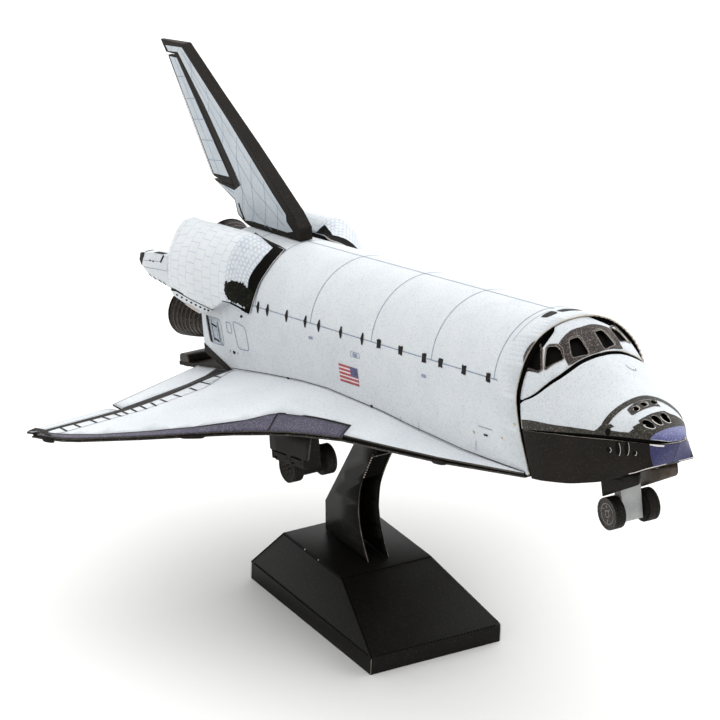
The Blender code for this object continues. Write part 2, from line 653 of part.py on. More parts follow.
def main():
    clear_scene()
    root = empty("display_model")
    orbiter = empty("orbiter_frame", root)
    orbiter.location = world(0.0, 0.0, BELLY_HEIGHT)
    orbiter.rotation_euler.x = -math.radians(PITCH)

    white = principled("white printed sheet", "DDE3EA", 0.55)
    black = principled("black printed sheet", "2A2624", 0.5)
    edge_grey = principled("purple grey leading edge", "5B5566", 0.5)
    bell = principled("black nozzle sheet", "1C1B1C", 0.45)
    grey = principled("light grey strut sheet", "8D8F90", 0.4)
    satin = principled("satin black stand", "232222", 0.35)

    build_fuselage(orbiter, white, black)
    build_forebody(orbiter, white, black)
    build_wings(orbiter, white, black, edge_grey)
    build_elevons(orbiter, white, black)
    build_fin(orbiter, white)
    build_pods(orbiter, white)
    build_engines(orbiter, bell)
    build_gear(orbiter, black, grey)
    build_stand(root, satin)
    centre_on_bounds(root)


main()
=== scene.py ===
# Looks of a folded sheet display model of a space shuttle orbiter on its stand
import math
import random
from functools import partial

import bmesh
import bpy
from mathutils import Matrix, Vector
from mathutils.geometry import tessellate_polygon


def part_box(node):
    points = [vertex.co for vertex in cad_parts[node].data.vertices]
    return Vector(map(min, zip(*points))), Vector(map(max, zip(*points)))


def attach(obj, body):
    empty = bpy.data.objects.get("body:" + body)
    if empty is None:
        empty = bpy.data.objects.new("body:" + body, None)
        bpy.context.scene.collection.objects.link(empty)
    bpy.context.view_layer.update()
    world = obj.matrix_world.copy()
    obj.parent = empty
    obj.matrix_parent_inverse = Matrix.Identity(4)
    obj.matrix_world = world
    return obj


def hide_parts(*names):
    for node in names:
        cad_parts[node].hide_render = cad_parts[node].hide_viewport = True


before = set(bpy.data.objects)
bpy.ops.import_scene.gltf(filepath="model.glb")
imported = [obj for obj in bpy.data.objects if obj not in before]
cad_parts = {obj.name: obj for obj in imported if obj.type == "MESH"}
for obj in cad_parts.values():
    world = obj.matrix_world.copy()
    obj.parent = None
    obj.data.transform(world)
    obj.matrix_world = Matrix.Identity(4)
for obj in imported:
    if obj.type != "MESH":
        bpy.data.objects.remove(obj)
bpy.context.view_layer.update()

random.seed(7)

# Places on the orbiter are millimetres of its own frame: s aft from the nose, x to starboard, z up
# from the belly. A vector of that frame is (-x, s, z), so it turns onto the stand unmirrored.
model = {"pitch": 12.8, "bellyHeight": 47.65, "sheet": 0.25, "baseRear": 85.65}
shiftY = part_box("stand_base")[1][1] * 1000 - model["baseRear"]
onStand = Matrix.Translation((0, shiftY, 0))
onArm = Matrix.Translation((0, shiftY, model["bellyHeight"])) @ Matrix.Rotation(
    -math.radians(model["pitch"]), 4, 'X')


# Shape helpers
def place(s, x, z):
    return Vector((-x, s, z))


def straightCurve(rows, column=1):
    # straight lines through a table of (place, value, ...) rows
    rows = sorted(rows)

    def at(x):
        if x <= rows[0][0]:
            return rows[0][column]
        for a, b in zip(rows, rows[1:]):
            if x <= b[0]:
                return a[column] + (b[column] - a[column]) * (x - a[0]) / (b[0] - a[0])
        return rows[-1][column]
    return at


def smoothCurve(rows, column=1):
    # a bent sheet's line through the same kind of table, without overshoot
    rows = sorted(rows)
    rises = [(b[column] - a[column]) / (b[0] - a[0]) for a, b in zip(rows, rows[1:])]
    inner = [0.0 if a * b <= 0 else 2 * a * b / (a + b) for a, b in zip(rises, rises[1:])]
    slopes = [rises[0]] + inner + [rises[-1]]

    def at(x):
        x = min(max(x, rows[0][0]), rows[-1][0])
        for i in range(len(rows) - 1):
            a, b = rows[i], rows[i + 1]
            if x <= b[0]:
                span = b[0] - a[0]
                t = (x - a[0]) / span
                return ((2 * t ** 3 - 3 * t ** 2 + 1) * a[column]
                        + (t ** 3 - 2 * t ** 2 + t) * span * slopes[i]
                        + (3 * t ** 2 - 2 * t ** 3) * b[column]
                        + (t ** 3 - t ** 2) * span * slopes[i + 1])
    return at


def onSurface(surface, u, v, lift=0.0):
    # the place and outward direction of a surface {"at", "out"}, raised by lift millimetres
    step = 0.03
    here = surface["at"](u, v)
    alongU = surface["at"](u + step, v) - surface["at"](u - step, v)
    alongV = surface["at"](u, v + step) - surface["at"](u, v - step)
    normal = alongU.cross(alongV).normalized() * surface["out"]
    return here + normal * lift, normal


def newShape():
    return {"points": [], "faces": [], "uvs": [], "slots": []}


def addFaces(shape, points, faces, slot=0, uvs=None):
    start = len(shape["points"])
    shape["points"] += points
    shape["uvs"] += uvs or [(0.0, 0.0)] * len(points)
    shape["faces"] += [tuple(start + i for i in face) for face in faces]
    shape["slots"] += [slot] * len(faces)


def addArea(shape, surface, outline, lift=0.0, holes=(), step=(1.5, 1.5), slot=0):
    # fills an outline of (u, v) places, follows the surface, and leaves the holes open
    loops = [[Vector((u, v, 0.0)) for u, v in loop] for loop in (outline, *holes)]
    flat = bmesh.new()
    corners = [flat.verts.new(p) for loop in loops for p in loop]
    for tri in tessellate_polygon(loops):
        a, b, c = (corners[i] for i in tri)
        turn = (b.co - a.co).cross(c.co - a.co).z
        if abs(turn) > 1e-9:
            flat.faces.new((a, b, c) if turn > 0 else (a, c, b))
    for axis in (0, 1):
        low = min(v.co[axis] for v in flat.verts)
        high = max(v.co[axis] for v in flat.verts)
        count = math.ceil((high - low) / step[axis])
        for i in range(1, count):
            co = Vector((0.0, 0.0, 0.0))
            co[axis] = low + (high - low) * i / count
            no = Vector((1.0, 0.0, 0.0)) if axis == 0 else Vector((0.0, 1.0, 0.0))
            bmesh.ops.bisect_plane(flat, geom=flat.verts[:] + flat.edges[:] + flat.faces[:],
                                   plane_co=co, plane_no=no, dist=1e-5)
    flat.verts.index_update()
    points = [onSurface(surface, v.co.x, v.co.y, lift)[0] for v in flat.verts]
    uvs = [(v.co.x, v.co.y) for v in flat.verts]
    faces = [tuple(v.index for v in f.verts)[::int(surface["out"])] for f in flat.faces]
    flat.free()
    addFaces(shape, points, faces, slot, uvs)


def addLine(shape, surface, path, width, lift=0.035, slot=0, step=0.8, closed=False):
    # an engraved or printed line of that width along (u, v) places
    path = list(path) + ([path[0]] if closed else [])
    places = [path[0]]
    for (ua, va), (ub, vb) in zip(path, path[1:]):
        length = (surface["at"](ub, vb) - surface["at"](ua, va)).length
        count = max(1, math.ceil(length / step))
        places += [(ua + (ub - ua) * i / count, va + (vb - va) * i / count)
                   for i in range(1, count + 1)]
    row = [onSurface(surface, u, v, lift) for u, v in places]
    points = []
    for i, (here, normal) in enumerate(row):
        before, after = row[max(i - 1, 0)][0], row[min(i + 1, len(row) - 1)][0]
        if closed and i in (0, len(row) - 1):
            before, after = row[-2][0], row[1][0]
        side = normal.cross(after - before).normalized() * width / 2
        points += [here - side, here + side]
    faces = [(2 * i, 2 * i + 2, 2 * i + 3, 2 * i + 1) for i in range(len(row) - 1)]
    addFaces(shape, points, faces, slot)


def around(surface, u, v, offsets):
    # (u, v) outline from offsets in millimetres around a place
    step = 0.03
    perU = (surface["at"](u + step, v) - surface["at"](u - step, v)).length / (2 * step)
    perV = (surface["at"](u, v + step) - surface["at"](u, v - step)).length / (2 * step)
    return [(u + a / perU, v + b / perV) for a, b in offsets]


def oval(radiusA, radiusB, turn=0.0, count=16):
    turn = math.radians(turn)
    offsets = []
    for i in range(count):
        angle = 2 * math.pi * i / count
        a, b = radiusA * math.cos(angle), radiusB * math.sin(angle)
        offsets.append((a * math.cos(turn) - b * math.sin(turn),
                        a * math.sin(turn) + b * math.cos(turn)))
    return offsets


def rounded(corners, share=0.25, steps=4):
    # the outline with each corner drawn round over that share of its sides
    outline = []
    count = len(corners)
    for i, corner in enumerate(corners):
        before, after = corners[i - 1], corners[(i + 1) % count]
        start = [c + (b - c) * share for c, b in zip(corner, before)]
        end = [c + (a - c) * share for c, a in zip(corner, after)]
        for k in range(steps + 1):
            t = k / steps
            outline.append(tuple((1 - t) ** 2 * a + 2 * t * (1 - t) * c + t ** 2 * b
                                 for a, c, b in zip(start, corner, end)))
    return outline


def addGrid(shape, rows, slot=0, out=1, uvRows=None, around=False):
    # quads between rows of equal count
    count = len(rows[0])
    points = [p for row in rows for p in row]
    uvs = [uv for row in uvRows for uv in row] if uvRows else None
    faces = []
    for r in range(len(rows) - 1):
        for i in range(count if around else count - 1):
            j = (i + 1) % count
            faces.append((r * count + i, r * count + j, (r + 1) * count + j,
                          (r + 1) * count + i)[::out])
    addFaces(shape, points, faces, slot, uvs)


def addBothSides(shape):
    # the port side as the mirror of the starboard side
    start = len(shape["points"])
    count = len(shape["faces"])
    shape["points"] += [Vector((-p[0], p[1], p[2])) for p in shape["points"]]
    shape["uvs"] += shape["uvs"][:start]
    shape["faces"] += [tuple(start + i for i in reversed(face))
                       for face in shape["faces"][:count]]
    shape["slots"] += shape["slots"][:count]


def mirrored(shape):
    # the port side's own copy of a starboard shape
    port = newShape()
    addFaces(port, [Vector((-p[0], p[1], p[2])) for p in shape["points"]],
             [face[::-1] for face in shape["faces"]], 0, shape["uvs"])
    return port


def bothSides(shape):
    return ("starboard", shape), ("port", mirrored(shape))


def makePiece(name, shape, materials, body="model", instead=(), frameOf=None,
              sharp=35, merge=False, wall=0.0, bevel=0.0, outward=False):
    # one object from a shape, with its place in its mesh
    matrix = frameOf or onArm
    mesh = bpy.data.meshes.new(name)
    mesh.from_pydata([(matrix @ Vector(p)) * 0.001 for p in shape["points"]], [],
                     shape["faces"])
    uvMap = mesh.uv_layers.new(name="UVMap")
    for loop in mesh.loops:
        uvMap.data[loop.index].uv = shape["uvs"][loop.vertex_index]
    for material in materials:
        mesh.materials.append(material)
    mesh.polygons.foreach_set("material_index", shape["slots"])
    if merge or outward:
        work = bmesh.new()
        work.from_mesh(mesh)
        bmesh.ops.remove_doubles(work, verts=work.verts, dist=2e-6)
        if outward:
            bmesh.ops.recalc_face_normals(work, faces=work.faces)
        work.to_mesh(mesh)
        work.free()
    mesh.shade_smooth()
    mesh.set_sharp_from_angle(angle=math.radians(sharp))
    piece = bpy.data.objects.new(name, mesh)
    bpy.context.scene.collection.objects.link(piece)
    if wall:
        # the sheet's thickness: outer print, bare inside, bare cut edge
        sheetWall = piece.modifiers.new("Sheet", 'SOLIDIFY')
        sheetWall.thickness = wall * 0.001
        sheetWall.offset = -1.0
        sheetWall.use_even_offset = False
        sheetWall.material_offset = len(materials) - 2
        sheetWall.material_offset_rim = len(materials) - 1
    if bevel:
        fold = piece.modifiers.new("Fold", 'BEVEL')
        fold.width = bevel * 0.001
        fold.segments = 2
        fold.limit_method = 'ANGLE'
        fold.angle_limit = math.radians(30)
    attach(piece, body)
    if instead:
        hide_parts(*instead)
    return piece


def dress(materials):
    # CAD nodes that stay are given their finish through their own slots
    for node, material in materials.items():
        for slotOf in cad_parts[node].material_slots:
            slotOf.material = material


# Finishes; all sizes are millimetres
commonLook = {"metallic": 0.0, "ior": 1.5, "gloss": 0.5, "roughness": 0.5, "shineSpread": 0.07,
              "toneAmount": 0.9, "toneRange": (0.35, 0.7), "speckSize": 0.2, "speckFrom": 0.5,
              "speckFade": 0.16, "speckAmount": 0.6, "grain": 0.25, "grainHeight": 0.01}


def linear(code):
    channels = [int(code[i:i + 2], 16) / 255 for i in (0, 2, 4)]
    return tuple(c / 12.92 if c <= 0.04045 else ((c + 0.055) / 1.055) ** 2.4
                 for c in channels) + (1.0,)


def addNode(tree, kind, settings=None, values=None, links=None):
    node = tree.nodes.new(kind)
    for name, value in (settings or {}).items():
        setattr(node, name, value)
    for name, value in (values or {}).items():
        node.inputs[name].default_value = value
    for name, socket in (links or {}).items():
        tree.links.new(socket, node.inputs[name])
    return node


def printedSheet(name, look):
    # ink printed on rolled steel: flat colour broken by fine specks and slow changes of tone
    look = {**commonLook, **look}
    material = bpy.data.materials.new(name)
    material.use_nodes = True
    tree = material.node_tree
    shader = tree.nodes["Principled BSDF"]
    shader.inputs["Metallic"].default_value = look["metallic"]
    shader.inputs["IOR"].default_value = look["ior"]
    shader.inputs["Specular IOR Level"].default_value = look["gloss"]
    where = addNode(tree, "ShaderNodeTexCoord").outputs["Object"]
    speck = addNode(tree, "ShaderNodeTexNoise", values={
        "Scale": 1000 / look["speckSize"], "Detail": 3.0, "Roughness": 0.65},
        links={"Vector": where})
    speckShare = addNode(tree, "ShaderNodeMapRange", values={
        "From Min": look["speckFrom"], "From Max": look["speckFrom"] + look["speckFade"],
        "To Min": 0.0, "To Max": look["speckAmount"]}, links={"Value": speck.outputs["Fac"]})
    tone = addNode(tree, "ShaderNodeTexNoise", values={
        "Scale": 1000 / look["toneSize"], "Detail": 2.0}, links={"Vector": where})
    toneShare = addNode(tree, "ShaderNodeMapRange", values={
        "From Min": look["toneRange"][0], "From Max": look["toneRange"][1], "To Min": 0.0,
        "To Max": look["toneAmount"]},
        links={"Value": tone.outputs["Fac"]})
    toned = addNode(tree, "ShaderNodeMix", {"data_type": 'RGBA'},
                    {6: linear(look["base"]), 7: linear(look["tone"])},
                    {0: toneShare.outputs["Result"]})
    specked = addNode(tree, "ShaderNodeMix", {"data_type": 'RGBA'},
                      {7: linear(look["speck"])},
                      {0: speckShare.outputs["Result"], 6: toned.outputs[2]})
    tree.links.new(specked.outputs[2], shader.inputs["Base Color"])
    gloss = addNode(tree, "ShaderNodeMapRange", values={
        "To Min": look["roughness"] - look["shineSpread"],
        "To Max": look["roughness"] + look["shineSpread"]},
        links={"Value": speck.outputs["Fac"]})
    tree.links.new(gloss.outputs["Result"], shader.inputs["Roughness"])
    bump = addNode(tree, "ShaderNodeBump", values={
        "Strength": look["grain"], "Distance": look["grainHeight"] * 0.001},
        links={"Height": speck.outputs["Fac"]})
    tree.links.new(bump.outputs["Normal"], shader.inputs["Normal"])
    return material


# Matt white print: bluish, with grey-blue specks about a quarter of a millimetre across
whitePrint = printedSheet("matt white printed steel", {
    "base": "D2D6D9", "tone": "C6CBCF", "toneSize": 9.0, "toneAmount": 0.8, "speck": "9DAAB8",
    "speckAmount": 0.5, "roughness": 0.52})
# The fin's white looks greyer and bluer
finPrint = printedSheet("matt blue grey printed steel", {
    "base": "BFC6CB", "tone": "AEB7BF", "toneSize": 5.0, "speck": "8695A5", "speckAmount": 0.5})
# Satin black print: warm, with brown and gold grains where the steel shines through
blackPrint = printedSheet("satin black printed steel", {
    "base": "15120F", "tone": "1D1916", "toneSize": 6.0, "toneAmount": 0.8, "speck": "4A4035",
    "speckSize": 0.22, "speckFrom": 0.56, "speckAmount": 0.5, "roughness": 0.6, "gloss": 0.1})
# Indigo black print of the nose cap
indigoPrint = printedSheet("indigo black printed steel", {
    "base": "25254A", "tone": "30305A", "toneSize": 4.0, "toneAmount": 0.8, "speck": "4B4E85",
    "roughness": 0.45, "gloss": 0.35})
# Lighter violet-blue on top of the cap, where the light catches its grain
capPrint = printedSheet("violet blue printed steel", {
    "base": "4C4F7C", "tone": "5D6090", "toneSize": 3.0, "toneAmount": 0.8, "speck": "9698C4",
    "speckAmount": 0.65, "roughness": 0.42})
# Unprinted brown inner side of the nose doors
doorInside = printedSheet("brown inner side of a door sheet", {
    "base": "5E5348", "tone": "3C342C", "toneSize": 2.5, "speck": "8C8072", "speckSize": 0.3,
    "speckFrom": 0.55, "speckAmount": 0.5, "roughness": 0.45})
# Slightly greyer blanket print of the hull: a painted shade, so that its sides read darker than
# the wings
shadedHullPrint = printedSheet("pale grey blanket print on steel", {
    "base": "CDD1D4", "tone": "C0C6CA", "toneSize": 4.0, "toneAmount": 0.5, "speck": "95A2AF",
    "speckAmount": 0.5, "roughness": 0.6})
# Soot-like burnt print at the pods' feet, with green and brown grains
sootPrint = printedSheet("burnt black print with green grains", {
    "base": "080605", "tone": "14100B", "toneSize": 1.6, "speck": "2A3A22", "speckSize": 0.3,
    "speckFrom": 0.52, "roughness": 0.6, "gloss": 0.1})
# Speckled blue-grey fill of the service plate on the body side
plateWear = printedSheet("speckled blue grey service plate", {
    "base": "AFB8C1", "tone": "97A2AE", "toneSize": 1.2, "speck": "3E444C", "speckSize": 0.25,
    "speckAmount": 0.7, "roughness": 0.55})
# Purple-grey print of the leading edges
edgePrint = printedSheet("purple grey printed steel", {
    "base": "3D3A4C", "tone": "302E3E", "toneSize": 4.0, "toneAmount": 0.8, "speck": "8A8596",
    "gloss": 0.2})
# Engraved lines: the print is burnt through to a dull blue-grey
engravedLine = printedSheet("engraved blue grey line", {
    "base": "78879B", "tone": "68778C", "toneSize": 3.0, "speck": "AEB9C6", "speckSize": 0.25,
    "speckAmount": 0.7, "roughness": 0.6})
# Near-black for cuts and holes through the sheet, and painted shade in gaps, folds, seams and
# behind openings
darkCutAndShade = printedSheet("dark cut and shadow line", {
    "base": "060504", "tone": "0B0908", "toneSize": 3.0, "toneAmount": 0.7, "speck": "1C1814",
    "speckSize": 0.25, "speckFrom": 0.58, "speckAmount": 0.5, "roughness": 0.6, "gloss": 0.06})
# Sheared edge of the steel, bare and a little browned by the laser; also the painted glints and
# highlights on the base, arm and vent strips
bareEdgeAndGlint = printedSheet("bare laser cut steel edge", {
    "base": "C9C2B6", "tone": "8C8072", "toneSize": 1.5, "toneAmount": 0.8, "speck": "5E5346",
    "speckSize": 0.3, "speckFrom": 0.56, "roughness": 0.36, "metallic": 1.0})
# The same edge, darker, on the wings, leading edges, doors and lower skin
darkEdge = printedSheet("blackened laser cut steel edge", {
    "base": "3B372F", "tone": "24211C", "toneSize": 1.2, "speck": "8A8272", "speckSize": 0.25,
    "speckFrom": 0.56, "speckAmount": 0.5, "gloss": 0.3})
# Unprinted inside of the sheet, in shade
bareInside = printedSheet("bare rolled steel inside", {
    "base": "5F5A54", "tone": "47423D", "toneSize": 5.0, "toneAmount": 0.8, "speck": "7C766C",
    "speckSize": 0.4, "speckFrom": 0.55, "speckAmount": 0.5, "roughness": 0.42, "metallic": 1.0})
# Speckled dark brown print of the nose plates and bands
speckledPrint = printedSheet("speckled warm grey printed steel", {
    "base": "302D29", "tone": "262420", "toneSize": 2.0, "speck": "807C70", "speckFrom": 0.52,
    "roughness": 0.45, "gloss": 0.15})
# Cockpit surround: the same print, browner and with paler grains
surroundPrint = printedSheet("speckled brown printed steel", {
    "base": "37312E", "tone": "2A2522", "toneSize": 2.0, "toneAmount": 0.8, "speck": "8F8782",
    "speckFrom": 0.52, "speckAmount": 0.65, "roughness": 0.45, "gloss": 0.15})
# Thin outline engraved through the dark print round each window
frameLine = printedSheet("engraved line through dark print", {
    "base": "776D69", "tone": "8F8682", "toneSize": 1.5, "speck": "B5ADA6", "roughness": 0.45,
    "gloss": 0.3})
# Small printed colours, each a thin film of ink with the steel's grain in it
yellowPrint = printedSheet("ochre printed mark", {
    "base": "B5A35A", "tone": "8F7F45", "toneSize": 1.0, "speck": "D9CFA2", "speckAmount": 0.7})
redPrint = printedSheet("dull red printed bar", {
    "base": "A23630", "tone": "842A28", "toneSize": 1.5, "speck": "C4726A", "speckAmount": 0.45})
palePrint = printedSheet("pale printed bar", {
    "base": "E2D9E0", "tone": "D3C2CC", "toneSize": 1.5, "speck": "B9A3B0"})
bluePrint = printedSheet("dark violet blue printed block", {
    "base": "3B3A66", "tone": "2A2950", "toneSize": 1.5, "speck": "7A79A5"})
# Thin dark line cut through the white print
darkLine = printedSheet("thin dark line through white print", {
    "base": "5C626C", "tone": "474B53", "toneSize": 2.0, "speck": "8C95A2"})
# Whiter, cleaner print of the pods' blankets
podWhite = {
    "base": "D5D9DB", "tone": "CACFD2", "toneSize": 7.0, "toneAmount": 0.7, "speck": "AEBAC5",
    "speckFrom": 0.52, "speckAmount": 0.4, "roughness": 0.55}
# Pale edge of the pod's sheet, also used for port rims and painted glints on the nose
palePrintEdgeAndGlint = printedSheet("pale cut edge of printed sheet", {
    "base": "E3DEDC", "tone": "BDB3AE", "toneSize": 1.5, "toneAmount": 0.8, "speck": "8F837C",
    "speckSize": 0.3, "speckFrom": 0.56, "roughness": 0.4})
# Engine bells: black print worn brown and gold on its hoops
bellPrint = printedSheet("worn brown black print on bells", {
    "base": "14100E", "tone": "241D18", "toneSize": 3.0, "speck": "6E604F", "speckSize": 0.25,
    "speckFrom": 0.54, "roughness": 0.36, "metallic": 0.35, "gloss": 0.3})
# Wheel discs: dark brown with pale grains
wheelPrint = printedSheet("dark brown wheel disc print", {
    "base": "221E1C", "tone": "1A1715", "toneSize": 1.5, "toneAmount": 0.8, "speck": "5F5751",
    "speckSize": 0.22, "speckFrom": 0.52, "roughness": 0.42, "gloss": 0.25})
# Nose strut: pale grey print over the steel
greySheet = printedSheet("pale grey printed strut", {
    "base": "A9ABAA", "tone": "8F9291", "toneSize": 2.5, "toneAmount": 0.8, "speck": "C7C9C7",
    "speckFrom": 0.55, "speckAmount": 0.5, "roughness": 0.4})
# Rear bulkhead: black with brown wear
aftPrint = printedSheet("satin black rear bulkhead print", {
    "base": "15120F", "tone": "231E1A", "toneSize": 3.0, "toneAmount": 0.8, "speck": "4F473C",
    "speckSize": 0.25, "speckFrom": 0.55, "roughness": 0.45, "gloss": 0.25})
# Stand: satin black coating, smoother than the print, with little dust in it
satinBlack = printedSheet("satin black coated steel", {
    "base": "0F0E0D", "tone": "151413", "toneSize": 9.0, "toneAmount": 0.7, "speck": "34302C",
    "speckSize": 0.22, "speckFrom": 0.54, "roughness": 0.42, "gloss": 0.1})
# The same coating inside the arm's channel, which takes no light
armInside = printedSheet("matt black inside the arm", {
    "base": "060505", "tone": "0A0908", "toneSize": 9.0, "toneAmount": 0.7, "speck": "1C1917",
    "speckSize": 0.22, "speckFrom": 0.54, "speckAmount": 0.5, "roughness": 0.7, "gloss": 0.03})
# Rolled edge of the body flap, where the black print is rubbed brown
flapPrint = printedSheet("rubbed black print on a rolled edge", {
    "base": "17130F", "tone": "2B241D", "toneSize": 1.6, "speck": "5C4E3F", "speckSize": 0.3,
    "speckFrom": 0.52, "speckAmount": 0.5, "gloss": 0.25})
# Pale edges of the stand: coating worn thin, and painted edge highlights
wornLitEdge = printedSheet("thin worn edge of black coating", {
    "base": "5E5A55", "tone": "3B3834", "toneSize": 1.5, "speck": "B9B5AF", "speckSize": 0.3,
    "speckFrom": 0.56, "speckAmount": 0.5, "roughness": 0.35, "metallic": 0.8})


bellyTiles = {"size": 2.6, "seam": 0.08, "turn": 45, "seamColour": "5A5450", "seamShare": 0.75}


def tiledBelly(name, look):
    # black tiles set diagonally, with thin engraved seams through the print
    material = printedSheet(name, look)
    tree = material.node_tree
    shader = tree.nodes["Principled BSDF"]
    plain = shader.inputs["Base Color"].links[0].from_socket
    where = addNode(tree, "ShaderNodeTexCoord").outputs["Object"]
    turned = addNode(tree, "ShaderNodeMapping", values={
        "Rotation": (math.radians(model["pitch"]), 0.0, math.radians(bellyTiles["turn"])),
        "Scale": (1000.0, 1000.0, 1000.0)}, links={"Vector": where})
    tiles = addNode(tree, "ShaderNodeTexBrick", {"offset": 0.0}, {
        "Color1": (0, 0, 0, 1), "Color2": (0, 0, 0, 1), "Mortar": (1, 1, 1, 1), "Scale": 1.0,
        "Mortar Size": bellyTiles["seam"], "Mortar Smooth": 0.2,
        "Brick Width": bellyTiles["size"], "Row Height": bellyTiles["size"]},
        {"Vector": turned.outputs["Vector"]})
    share = addNode(tree, "ShaderNodeMath", {"operation": 'MULTIPLY'},
                    {1: bellyTiles["seamShare"]}, {0: tiles.outputs["Fac"]})
    mixed = addNode(tree, "ShaderNodeMix", {"data_type": 'RGBA'},
                    {7: linear(bellyTiles["seamColour"])}, {0: share.outputs[0], 6: plain})
    tree.links.new(mixed.outputs[2], shader.inputs["Base Color"])
    return material


# Underside: the black tiles of the belly and lower wings
bellyPrint = tiledBelly("black tiled belly print", {
    "base": "15120F", "tone": "1D1916", "toneSize": 6.0, "toneAmount": 0.8, "speck": "4A4035",
    "speckSize": 0.22, "speckFrom": 0.56, "roughness": 0.46, "gloss": 0.22})
print("finishes made")


# Body shell
body = {"half": 9.07, "sideTop": 9.45, "rise": 9.15, "rear": 103.0, "foot": 0.38,
        "rearFoot": 2.6, "cornerS": 94.8, "hingeLine": 11.34,
        "bayLines": (28.8, 43.4, 58.0, 73.4, 88.0),
        "hinges": (87.2, 84.65, 79.6, 74.7, 71.2, 65.6, 60.2),
        "latches": (56.1, 50.8, 45.1, 41.2, 35.7, 30.1)}
arcScale = (body["half"] + body["rise"]) / 2            # millimetres of arc per radian
arcEnd = body["sideTop"] + arcScale * math.pi
roundEnd = arcEnd + body["sideTop"]                     # t at the port foot
crest = roundEnd / 2
markLift = 0.05                                         # how far marks stand off the sheet


def bodyAt(s, t):
    # t climbs the starboard side, goes over the top and down the port side
    if t <= body["sideTop"]:
        return place(s, body["half"], t)
    if t >= arcEnd:
        return place(s, -body["half"], roundEnd - t)
    angle = (t - body["sideTop"]) / arcScale
    return place(s, body["half"] * math.cos(angle),
                 body["sideTop"] + body["rise"] * math.sin(angle))


def heightOn(z):
    # t of a height on the starboard side, the round top included
    if z <= body["sideTop"]:
        return z
    return body["sideTop"] + arcScale * math.asin(min((z - body["sideTop"]) / body["rise"], 1))


bodySkin = {"at": bodyAt, "out": -1}
hingeT = heightOn(body["hingeLine"])
# the front edge leans back round the side windows, and less so on the port side
bodyFront = smoothCurve(((0.38, 22.35), (2.2, 22.7), (3.2, 23.0), (4.6, 23.35), (6.0, 23.65),
                         (9.0, 23.92), (10.6, 23.75), (13.2, 23.4), (17.6, 23.4), (19.8, 23.1),
                         (21.5, 22.8), (22.6, 22.62), (23.8, 22.6), (27.5, 22.25), (32.0, 22.3),
                         (36.0, 22.2), (47.1, 22.3)))


def ragged(corners, size, pieces=4):
    # laser-etched outline: each side broken by small steps
    outline = []
    for i, corner in enumerate(corners):
        after = corners[(i + 1) % len(corners)]
        for k in range(pieces):
            share = k / pieces
            outline.append((corner[0] + (after[0] - corner[0]) * share
                            + random.uniform(-size, size),
                            corner[1] + (after[1] - corner[1]) * share
                            + random.uniform(-size, size)))
    return outline


def makeBodySheet():
    rear, foot = body["rear"], body["foot"]
    corner, rearFoot = body["cornerS"], body["rearFoot"]
    shell = newShape()
    teeth = []                     # the front edge is serrated where the crown is bent to meet it
    t = roundEnd - foot
    while t > foot:
        front = bodyFront(t)
        teeth += [(front + 0.2, t), (front + 0.2, t - 0.26), (front, t - 0.34),
                  (front, t - 0.62)] if t > crest + 3 else [(front, t)]
        t -= 0.7
    outline = [(bodyFront(foot), foot), (corner, foot), (rear, rearFoot),
               (rear, roundEnd - rearFoot), (corner, roundEnd - foot)]
    outline += [p for p in teeth if p[1] > foot]
    addArea(shell, bodySkin, outline, step=(8.0, 0.6))
    makePiece("body_shell", shell, [shadedHullPrint, bareInside, bareEdgeAndGlint],
              instead=("fuselage_shell",), merge=True, wall=model["sheet"])


def makeBodyLines():
    engraved = newShape()
    line = partial(addLine, engraved, bodySkin)
    line([(28.0, hingeT), (88.0, hingeT)], 0.13)
    for s in body["bayLines"]:
        line([(s, hingeT), (s, crest)], 0.13)
    line([(27.6, 16.5), (27.6, crest - 0.8)], 0.07)
    line([(96.6, 12.5), (96.6, crest)], 0.09)
    line([(88.0, hingeT), (99.0, hingeT - 0.6)], 0.1)
    panels = (((96.24, 7.95), (95.0, 7.95), (94.77, 6.56), (96.0, 6.5)),
              ((94.4, 8.4), (91.0, 8.0), (90.4, 4.8), (93.4, 4.7)),
              ((101.9, 8.0), (97.9, 8.0), (97.2, 4.4), (101.2, 4.4)))
    for outline in panels:
        line(rounded(outline, 0.2), 0.12, closed=True)
    for s in (34.0, 47.5, 52.0, 66.8, 81.0):       # short vertical scribes on the side
        line([(s, 1.4), (s - 0.1, 2.6)], 0.1)
    line(rounded(((61.0, 8.62), (63.2, 8.62), (63.2, 9.25), (61.0, 9.25)),
                 0.1), 0.08, closed=True)
    addBothSides(engraved)
    line([(28.0, crest), (88.0, crest)], 0.11)
    makePiece("body_engraving", engraved, [engravedLine])


